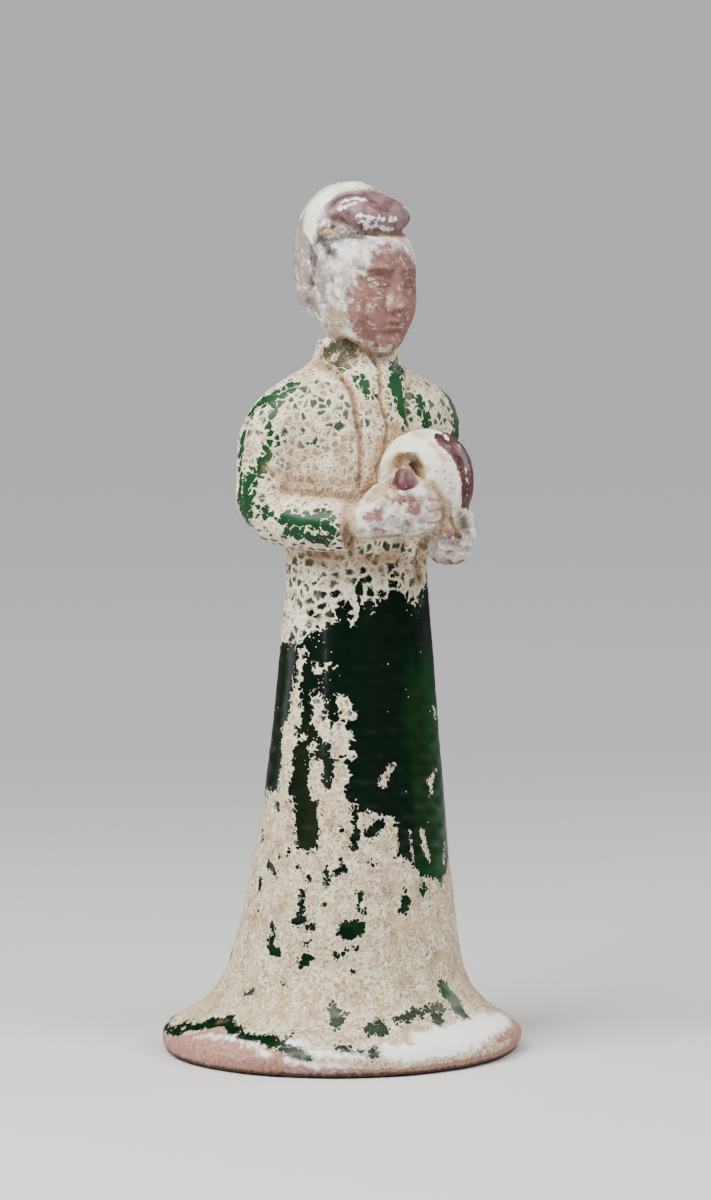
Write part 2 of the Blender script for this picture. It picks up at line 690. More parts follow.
# Splits the chosen triangles into four at the middles of their sides, and the ones beside them into two
# or four so that no gap opens.
def refine(places, triangles, chosen):
    numbers, which = np.unique(sideNumbers(triangles, len(places)), return_inverse=True)
    which = which.reshape(-1, 3)
    split = np.zeros(len(numbers), bool)
    split[which[chosen]] = True
    while (split[which].sum(1) == 2).any():
        split[which[split[which].sum(1) == 2]] = True
    ends = np.column_stack([numbers // len(places), numbers % len(places)])
    middles = places[ends[split]].mean(1)
    number = (np.cumsum(split) - 1 + len(places))[which]
    cut = split[which].sum(1)
    t, n = triangles[cut == 3], number[cut == 3]
    quarters = np.concatenate([np.stack([t[:, k], n[:, k], n[:, k - 1]], 1) for k in range(3)] + [n])
    t, n, k = triangles[cut == 1], number[cut == 1], split[which[cut == 1]].argmax(1)
    row = np.arange(len(k))
    middle, after = n[row, k], t[row, (k + 2) % 3]
    one = np.stack([t[row, k], middle, after], 1)
    two = np.stack([middle, t[row, (k + 1) % 3], after], 1)
    return np.vstack([places, middles]), np.vstack([triangles[cut == 0], quarters, one, two])


skins = [
    robeSkin(),
    neckSkin(),
    collarSkin(),
    *[sleeve(form) for form in sleeves],
    limb(rightHand["palm"], 160, 160, fingerGrooves(0.74, 0.7)),
    limb(rightHand["thumb"]),
    limb(leftHand["palm"]),
    limb(leftHand["fingers"], 160, 140, fingerGrooves(0.4, 1.1)),
    limb(leftHand["thumb"]),
    limb(leftHand["heel"]),
    hatSkin(),
    limb(hat["knob"]),
    limb(robeTip),
    headSkin(),
    hairSkin(),
    ontoHead(limb(hair["topknot"])),
    ontoHead(limb(hair["roll"], 80, 200)),
    *earSkins(),
]
places, quads = fuse(skins)
print("fused body:", len(places), "places")
edges = edgesOf(quads, len(places))
places = fillCreases(even(places, edges, 5), quads, edges, 6)
triangles = cutQuads(places, quads)

# What is drawn on the body: lines of places in millimetres, each with how far it stands proud (or is
# scored in, where that is negative) and how wide it is.
lapels = {
    "left": [[-17.6, -23.7, 280.8], [-16.3, -25.9, 278.8], [-15.3, -28.8, 275.8], [-14.2, -30.8, 273.1],
             [-14, -32.3, 269.4], [-14.2, -33.8, 264.1], [-13.7, -34.6, 258.7], [-13.2, -35, 253.4],
             [-13, -35.2, 248], [-12.7, -34.6, 242.6], [-12.6, -33.8, 238.6], [-13.9, -33.4, 234.6]],
    "seam": [[0.2, -24.1, 286.8], [0.2, -26, 283.4], [-0.2, -28.4, 278.7], [-1.5, -31.6, 273.4],
             [-1.8, -33.9, 267.4], [-1.4, -35.2, 261.3], [-1.5, -35.9, 255.9], [-2.5, -36.2, 250.6],
             [-4.1, -36.3, 245.9], [-5.4, -36, 241]],
    "right": [[18.6, -17.2, 284.4], [13.6, -26.6, 278.7], [11.1, -31.6, 272], [10, -34.2, 265.2],
              [9.7, -35, 259.8], [9.8, -35.4, 250]],
    "proud": 1.2,
    "groove": [-1.0, 0.85],
}
scored = {
    "fingers": [-0.55, 0.5, [
        [[0.6, -62.8, 230.9], [2.6, -63.2, 230.6], [5.4, -63.4, 230.1]],
        [[0.4, -63, 226.6], [3.7, -63.3, 226.9], [7.6, -62.8, 227.3]],
        [[1.2, -62.9, 221.9], [3, -63, 222.1], [6.2, -62.8, 222.6]]]],
    "farHand": [-1.1, 0.9, [
        [[13.4, -60.7, 223.2], [14.6, -60.6, 219.6], [18.6, -57.5, 215.4]],
        [[28.4, -50, 224], [28.8, -49, 217], [27, -48, 211]]]],
    "fingerEnds": [-0.8, 0.9, [
        [[2, -63.6, 236.4], [6.1, -64.1, 232.6], [8.4, -63.2, 228], [8.6, -62.3, 223.8], [6, -62, 220]]]],
    "hatRidge": [0.6, 1.1, [
        [[2.4, -53.6, 258], [6.4, -57.8, 255.5], [9.3, -60.8, 252.5], [11.1, -63.3, 247.2],
         [13.4, -64.2, 241.8], [14.5, -64.3, 236.1], [14.4, -63.4, 229.9], [15, -61.4, 225]]]],
    "hairStrands": [-0.75, 0.8, [
        [[-17.6, -18.4, 341.5], [-19.3, -16.1, 340.2], [-20.6, -13.7, 337.5], [-21.1, -12.7, 334.8]],
        [[-19.5, -7, 345.8], [-20.9, -4, 342.5], [-22.1, -2.8, 337.1], [-22.5, -3.4, 330.3],
         [-23.7, -7.3, 323.4], [-23.2, -9.6, 316.6]],
        [[19.4, -5, 345.5], [21.4, -2, 341], [22.6, -0.6, 334], [23.2, -1, 326], [22.8, -3, 317]]]],
    "knotTop": [-0.9, 1.1, [
        [[-19.6, -13.6, 342], [-18, -15, 345.5], [-16.3, -15.5, 348.5], [-13.8, -15.9, 351.3],
         [-9.8, -17.4, 353.9], [-5.1, -18.8, 354.9], [0.8, -18.8, 355.2], [8, -17, 354.4],
         [14, -13, 350], [16.6, -11, 346]]]],
    "underKnot": [-0.7, 1.0, [
        [[-17.2, -19.2, 340.4], [-13.4, -23.2, 338.2], [-7.3, -28.7, 337.6], [-1.6, -29.8, 338],
         [5, -29.7, 337.6], [12.4, -26.2, 339], [17.5, -20.5, 340]]]],
    "collarEdge": [-0.5, 0.9, [
        [[-12.6, -9.5, 297], [-11.8, -17.8, 294.9], [-8.1, -22, 292.9], [-3, -21.6, 290.2],
         [-0.9, -23.4, 287.8]]]],
}
refined = [
    # what is cut finer: part of the body as a test on its places
    lambda x, y, z: (z < 206) & (np.abs(np.degrees(np.arctan2(x, -(y + 10))) + 28) < 74) & (z > 5),
    lambda x, y, z: (y < -45) & (z > 202) & (z < 262),
    lambda x, y, z: (y < -22) & (z > 294) & (z < 330),
]


# A drawn line laid on the body: a smooth curve through its points, of which each place is moved to the
# body's nearest one, and the moves are then evened along the line.
def laidOn(line, places, spacing=1.2):
    line = np.atleast_2d(np.asarray(line, float))
    if len(line) > 1:
        length = np.linalg.norm(np.diff(line, axis=0), axis=1).sum()
        line = alongCurve(line, np.linspace(0, 1, max(2, int(length / spacing) + 1)))[0]
    close = places[((places > line.min(0) - 5) & (places < line.max(0) + 5)).all(1)]
    moves = np.array([close[((close - point) ** 2).sum(1).argmin()] - point for point in line])
    if len(line) > 4:
        for step in range(3):
            moves[1:-1] = (moves[:-2] + 2 * moves[1:-1] + moves[2:]) / 4
    return line + moves


drawnLines = {name: [laidOn(line, places) for line in form[2]] for name, form in scored.items()}
for name in ("left", "seam", "right"):
    drawnLines[name] = [laidOn(lapels[name], places)]
middle = places[triangles].mean(1)
chosen = np.zeros(len(triangles), bool)
for test in refined:
    chosen |= test(*middle.T)
for lines in drawnLines.values():
    for line in lines:
        chosen |= nearLine(middle, line, 6)[0] < 2.2
places, triangles = refine(places, triangles, chosen)
middle = places[triangles].mean(1)
across, forward, height = (inHead(middle) - [0, 0, headShape["chinHeight"]]).T
atEyes = (np.abs(np.abs(across) - 8.4) < 5.4) & (np.abs(height - 28.4) < 2.8)
atMouth = (np.abs(across) < 5.6) & (np.abs(height - 13.4) < 5)
places, triangles = refine(places, triangles, (forward < -12) & (atEyes | atMouth))
edges = edgesOf(triangles, len(places))
places = even(places, edges, 4)

# The skirt's places go back on its own surface, free of the remeshing's faint ripples: by no more than so
# many millimetres, from above the hem's edge up to the waist.
putBack = {"most": 2.5, "bottom": [6, 12], "top": [174, 186]}
heights = places[:, 2] - robeShape["hemThickness"]
middle = readTable(robeShape["sections"], heights, 3)
radius = np.hypot(places[:, 0], places[:, 1] - middle)
reach = robeReach(places[:, 0] / radius, (middle - places[:, 1]) / radius, heights)[0]
share = np.clip(reach - radius, -putBack["most"], putBack["most"]) * ease(heights, *putBack["bottom"])
share = share * (1 - ease(heights, *putBack["top"])) / radius
places = places + share[:, None] * np.column_stack([places[:, 0], places[:, 1] - middle, 0 * middle])
print("refined:", len(places), "places,", len(triangles), "triangles")


# The lapels: the cloth between two drawn lines down the breast stands proud, its edges
# easing over 1.6 mm.
def raiseLapels(places, normals):
    x, y, z = places.T
    left, right = [np.array(lapels[name])[::-1] for name in ("left", "right")]
    between = ease(x - np.interp(z, left[:, 2], left[:, 0]), -0.8, 0.8) * ease(
        np.interp(z, right[:, 2], right[:, 0]) - x, -0.8, 0.8)
    front = ease(-normals[:, 1], 0.15, 0.45) * ease(-y, 16, 21) * (1 - ease(-y, 38.5, 40.5))
    tall = ease(z, 232, 237) * (1 - ease(z, 281, 285))
    return lapels["proud"] * between * front * tall


faceForms = {
    # how far proud, how far beside the middle, height above the chin, half width, half height
    "nostrils": [1.1, 3, 17.7, 1.5, 1.6],
    "brows": [0.9, 7.2, 33.2, 6, 2],
    "sockets": [-1.9, 8.2, 28.6, 5.4, 3.2],
    "eyes": [2.3, 8.4, 27.8, 3.6, 1.8],
    "cheeks": [1.5, 13, 18, 6.4, 6.8],
    "mouth": [1.4, 0, 11.8, 7.6, 5.2],
    "upperLip": [1.1, 0, 12.5, 4.4, 1.1],
    "lowerLip": [1.2, 0, 9.6, 3.6, 1.2],
    "underLip": [-0.8, 0, 7.2, 4.8, 1.2],
    "chin": [1.6, 0, 3.8, 5, 2.9],
    "nostrilHoles": [-1.1, 1.8, 16.6, 0.8, 0.55],
    "mouthCorners": [-0.6, 5, 11.2, 0.9, 0.8],
    "philtrum": [-0.4, 0, 14.4, 0.9, 1.3],
    "wingCreases": [-0.5, 4.9, 17.4, 0.6, 2],
}
nose = {"brow": 35, "root": 31.4, "tip": 18.4, "base": 16.4, "underside": 0.5,
        "rootWidth": 1.7, "tipWidth": 3, "rootProud": 0.9, "tipProud": 5.3}
eye = {"beside": 8.4, "half": 4.2, "height": 27.9, "above": 1.55, "below": 1.05, "slant": 0.5}
lids = {
    # how far proud, how soft
    "upper": [0.38, 0.42],
    "lower": [0.24, 0.4],
    "fold": [-0.42, 0.5],
    "foldAbove": 1.35,  # the fold's height over the upper rim
    "ball": -0.28,  # how far the ball stands back between the rims
}
mouth = {"height": 11.1, "bow": 0.35, "depth": 1.0, "soft": 0.5, "half": [3.6, 5.6]}
brow = {"height": 33, "arch": 1.0, "beside": 8, "half": [4.6, 6.4], "proud": 0.45, "soft": 0.8}


# The two lid lines at `across`, from -1 to 1 over the eye's width: parabolas above and below its middle
# line, which rises a little outwards.
def lidLines(across):
    arch = np.clip(1 - across ** 2, 0, 1)
    level = eye["height"] + eye["slant"] * across
    return level + eye["above"] * arch, level - eye["below"] * arch


# How far the face stands forward of the plain head: soft bumps on both sides of the middle, the nose as
# a ridge that grows from its root to its tip and ends over the lip, the mouth's line and the lids' rims.
def faceRelief(x, h):
    beside = np.abs(x)
    relief = sum(proud * np.exp(-((beside - out) / wide) ** 2 - ((h - above) / tall) ** 2)
                 for proud, out, above, wide, tall in faceForms.values())
    down = np.clip((nose["root"] - h) / (nose["root"] - nose["tip"]), 0, 1)
    under = 1 / (1 + np.exp(np.clip((nose["base"] - h) / nose["underside"], -40, 40)))
    ridge = np.exp(-(x / (nose["rootWidth"] + (nose["tipWidth"] - nose["rootWidth"]) * down)) ** 2)
    start = np.clip((nose["brow"] - h) / (nose["brow"] - nose["root"]), 0, 1)
    proud = nose["rootProud"] + (nose["tipProud"] - nose["rootProud"]) * down ** 1.2
    relief += proud * under * ridge * start
    line = mouth["height"] + mouth["bow"] * (x / 4.6) ** 2 - mouth["bow"] * np.exp(-(x / 1.1) ** 2)
    inMouth = 1 - ease(beside, *mouth["half"])
    relief -= mouth["depth"] * np.exp(-((h - line) / mouth["soft"]) ** 2) * inMouth
    across = (beside - eye["beside"]) / eye["half"]
    upper, lower = lidLines(across)
    wide = 1 - ease(np.abs(across), 0.9, 1.2)
    rims = {"upper": h - upper, "lower": h - lower, "fold": h - upper - lids["foldAbove"]}
    for name, above in rims.items():
        proud, soft = lids[name]
        relief += proud * np.exp(-(above / soft) ** 2) * wide
    relief += lids["ball"] * ease(upper - h, 0.1, 0.6) * ease(h - lower, 0.1, 0.6) * wide
    line = brow["height"] + brow["arch"] * (1 - ((beside - brow["beside"]) / 6) ** 2)
    along = 1 - ease(np.abs(beside - brow["beside"]), *brow["half"])
    relief += brow["proud"] * np.exp(-((h - line) / brow["soft"]) ** 2) * along
    return relief


normals = outwards(places, triangles)
onHead = inHead(places)
headHeight = onHead[:, 2] - headShape["chinHeight"]
ahead = np.clip(-onHead[:, 1] / 22, 0, 1)
faceShare = np.minimum(1, 2.5 * ahead ** 1.1) * ease(headHeight, -1, 1) * (1 - ease(headHeight, 37, 41))
forward = faceRelief(onHead[:, 0], headHeight) * faceShare
faceTurn = headShape["turn"]
places = places + forward[:, None] * np.array([math.sin(faceTurn), -math.cos(faceTurn), 0])

lift = raiseLapels(places, normals)
lineDistance = {}
for name, lines in drawnLines.items():
    tall, wide = scored[name][:2] if name in scored else lapels["groove"]
    lineDistance[name] = np.min([nearLine(places, line, 8)[0] for line in lines], axis=0)
    lift += tall * np.exp(-(lineDistance[name] / wide) ** 2)

# The pressed clay's own unevenness, the hair's combing and the hem's wavering rim.
handMade = {
    "broad": [0.28, 30],  # depth and size in millimetres
    "small": [0.014, 7],
    "headShare": 0.4,
    "combing": [0.16, 2.6],
    "rim": [0.55, 34],
}
x, y, z = places.T
robeShare = 1 - ease(z, 284, 298) * (1 - handMade["headShare"])
lift += robeShare * (handMade["broad"][0] * unevenness(places, handMade["broad"][1], seed=5)
                     + handMade["small"][0] * unevenness(places, handMade["small"][1], seed=8))
behindBrow = (onHead[:, 1] + hair["browForward"]) * math.cos(hair["browLean"])
behindBrow += (onHead[:, 2] - hair["browHeight"]) * math.sin(hair["browLean"])
combed = ease(behindBrow, 1, 4) * ease(z, 300, 310) * (1 - ease(-onHead[:, 1], 4, 9))
strand = np.arctan2(onHead[:, 0], onHead[:, 1] - hair["back"] - 3) * 22 + 1.2 * np.sin(z / 5.5)
lift += handMade["combing"][0] * combed * np.sin(strand * 2 * np.pi / handMade["combing"][1])
wavering = handMade["rim"][0] * unevenness(places * [1, 1, 0.3], handMade["rim"][1], seed=12)
lift += wavering * (1 - ease(z, 8, 22))
places = places + freeOfGround(places) * lift[:, None] * normals
onSkirt = (ease(z, 14, 20) * (1 - ease(z, 184, 194)))[:, None]
places = onSkirt * places + (1 - onSkirt) * even(places, edges, 1)
normals = outwards(places, triangles)
print("sculpted")


# Where each glaze, slip, bare clay and soil lies. A mark is its half width in millimetres and then one or
# more places that it runs through. On the skirt a place is a turn in degrees, seen from above and from
# the front towards +X, and a height.
skirtMarks = {
    "beigeInGreen": [  # crust left in the green band
        [1, [-73, 168], [-77, 158], [-78, 151]], [2.6, [-78, 150], [-77, 142], [-81, 136]],
        [3.4, [-81, 137], [-82, 129], [-82, 121], [-85, 110]], [2.2, [-61, 149], [-59, 141]],
        [1.5, [-56, 149]], [2.6, [-55, 139], [-52, 135]], [3.2, [-45, 137], [-41, 133], [-46, 129]],
        [2.4, [-41, 148], [-39, 143]], [1.8, [-37, 127]], [1.7, [-62, 130]], [2.6, [-60, 123], [-60, 118],
        [-58, 111]], [2.5, [-44, 123], [-42, 119], [-45, 111]], [1.4, [-3, 121], [-9, 118], [-12, 115]],
        [0.7, [50, 144], [52, 138]], [0.7, [45, 118], [35, 114], [36, 109]], [1, [-69, 134]],
        [1, [-62, 162]], [0.8, [-53, 163]], [1.1, [-18, 186]], [0.8, [-33, 188], [-34, 181]],
        [0.8, [7, 196]], [1.7, [-53, 182]], [1.5, [108, 140], [111, 131]], [1.8, [109, 124], [113, 119]],
        [1.6, [150, 141], [154, 138]], [1.1, [146, 133]], [1.5, [-165, 139], [-169, 134]],
        [0.9, [-160, 131]], [2.4, [78, 112], [84, 104]], [0.6, [11, 95], [12, 84]], [1.3, [23, 94],
        [25, 88], [28, 83]], [0.5, [51, 88], [46, 79]],
    ],
    "greenOutside": [  # drips and specks of green above the band and below it
        [1.1, [-65, 196]], [1.1, [-56, 192]], [1.2, [-49, 192]], [1.5, [-29, 196]], [1.8, [-28, 192]],
        [1.4, [-18, 192]], [1.4, [-8, 193]], [1.2, [-18, 198]], [1.1, [-66, 184]], [1, [-59, 187]],
        [1.5, [7, 203]], [1.1, [-27, 202]], [1, [-88, 189]], [2.6, [-23, 95], [-16, 98]], [0.9, [-41, 97]],
        [1.4, [-33, 104], [-32, 97], [-34, 89]], [1.5, [-45, 80], [-40, 81]], [0.6, [-51, 83], [-50, 75]],
        [1.2, [-61, 77]], [1.3, [-65, 71], [-65, 63]], [1.7, [-68, 59], [-64, 60]], [1.6, [-59, 57]],
        [1.2, [-82, 57], [-82, 55]], [1.9, [-83, 51], [-81, 47], [-77, 46]], [2, [-63, 43], [-59, 45]],
        [1, [-60, 51]], [1.2, [-43, 46], [-39, 48]], [3.7, [-38, 56], [-32, 57]], [0.8, [-32, 49]],
        [0.9, [-33, 72]], [0.9, [-30, 70], [-30, 66], [-26, 63]], [2, [5, 67], [2, 63]], [0.8, [4, 71]],
        [0.9, [19, 70]], [0.6, [25, 63]], [0.6, [21, 73], [20, 68]], [0.6, [38, 76], [39, 71]],
        [0.8, [-35, 40]], [1.8, [-91, 81], [-86, 79]], [1, [-98, 76], [-98, 70]], [0.8, [-96, 61]],
        [0.9, [-88, 106], [-87, 101]], [1, [-104, 94], [-103, 89]], [0.8, [-93, 28], [-89, 30]],
        [0.6, [-73, 34]], [1.2, [-21, 83]], [0.8, [-42, 85]], [1.2, [-76, 87]], [0.7, [-83, 84]],
        [0.7, [-69, 81]], [0.6, [-52, 66]], [0.5, [17, 45]], [2.2, [80, 60], [84, 52]], [2.6, [120, 70],
        [118, 62]], [2, [160, 58]], [2.4, [-150, 66], [-146, 58]], [1.6, [100, 34]], [1.8, [-128, 44],
        [-122, 40]],
    ],
    "greyGreen": [  # a grey film over the green at the hem
        [2.4, [-44, 25], [-41, 21]], [2.4, [-26, 18], [-20, 18]], [1.5, [-12, 21], [-1, 22], [7, 23],
        [18, 23]], [3.4, [28, 30], [30, 25], [28, 21]], [2.4, [11, 19], [11, 16]], [1.2, [27, 18]],
        [1.4, [-39, 12], [-33, 10], [-25, 10]], [2.2, [-59, 14], [-54, 10], [-49, 8]], [0.8, [-38, 24]],
        [2, [66, 22], [74, 18]], [2.2, [130, 20], [138, 17]],
    ],
    "olive": [  # brown runs
        [5.5, [-66, 136], [-64, 118], [-64, 88]], [4, [-98, 168], [-100, 130]], [4, [28, 150], [30, 84]],
    ],
    "specks": [  # fine specks of crust
        [4, [-63, 176], [-62, 168], [-58, 160], [-60, 140], [-58, 122]], [3, [-53, 122], [-50, 116],
        [-40, 112]],
    ],
    "greenLine": [  # the green line along the hem
        [1.6, [-150, 12], [-128, 9], [-115, 10], [-108, 11], [-106, 13], [-102, 15], [-97, 16], [-90, 17],
        [-83, 15], [-74, 14], [-67, 14], [-61, 13], [-54, 10], [-50, 8]], [2.4, [-100, 16], [-92, 17],
        [-84, 15]], [1.4, [-115, 13], [-109, 13]],
    ],
    "whiteSlip": [  # white slip at the hem
        [2.6, [-22, 10], [-8, 10.4], [4, 11], [18, 12], [40, 14], [55, 14]], [1, [-50, 11], [-40, 10],
        [-30, 9]], [2.6, [-6, 13], [6, 14], [24, 15], [44, 16]], [1, [-57, 7], [-46, 6], [-32, 5.6]],
        [0.5, [-98, 11], [-91, 13], [-82, 13], [-71, 12], [-62, 9]], [1, [-58, 14], [-51, 13]],
        [1.6, [-14, 8], [1, 8], [21, 9]], [1.8, [98, 11], [103, 13], [109, 12], [114, 14]],
    ],
    "clay": [  # clay laid bare within it
        [2, [33, 10], [50, 10], [61, 10]], [1.4, [-4, 8], [2, 8]],
    ],
}
# the green band's upper and lower edges, and the height up to which the clay is bare: turn, height
skirtEdges = {
    "top": [
        [-180, 168], [-160, 178], [-146, 164], [-134, 148], [-122, 160], [-112, 171], [-100, 172],
        [-95, 174], [-82, 174], [-72, 176], [-66, 178], [-58, 180], [-52, 181], [-50, 187], [-42, 190],
        [-38, 194], [-31, 190], [-18, 189], [-4, 192], [6, 199], [20, 196], [30, 189], [43, 192],
        [58, 194], [80, 188], [105, 176], [130, 182], [150, 164], [180, 168],
    ],
    "bottom": [
        [-180, 112], [-160, 96], [-140, 118], [-122, 120], [-114, 112], [-108, 110], [-75, 108], [-71, 90],
        [-63, 86], [-57, 89], [-54, 100], [-58, 112], [-42, 112], [-32, 104], [-16, 102], [-3, 101],
        [-2, 85], [7, 84], [17, 77], [34, 73], [44, 73], [70, 84], [95, 70], [120, 92], [145, 84],
        [180, 112],
    ],
    "clayTop": [
        [-180, 9], [-150, 11], [-128, 8], [-112, 8], [-101, 12], [-92, 16], [-82, 13.6], [-65, 11.5],
        [-54, 8.6], [-46, 5], [-20, 3.6], [10, 4.2], [40, 5], [52, 9], [62, 9], [90, 6], [120, 10],
        [150, 7], [180, 9],
    ],
}
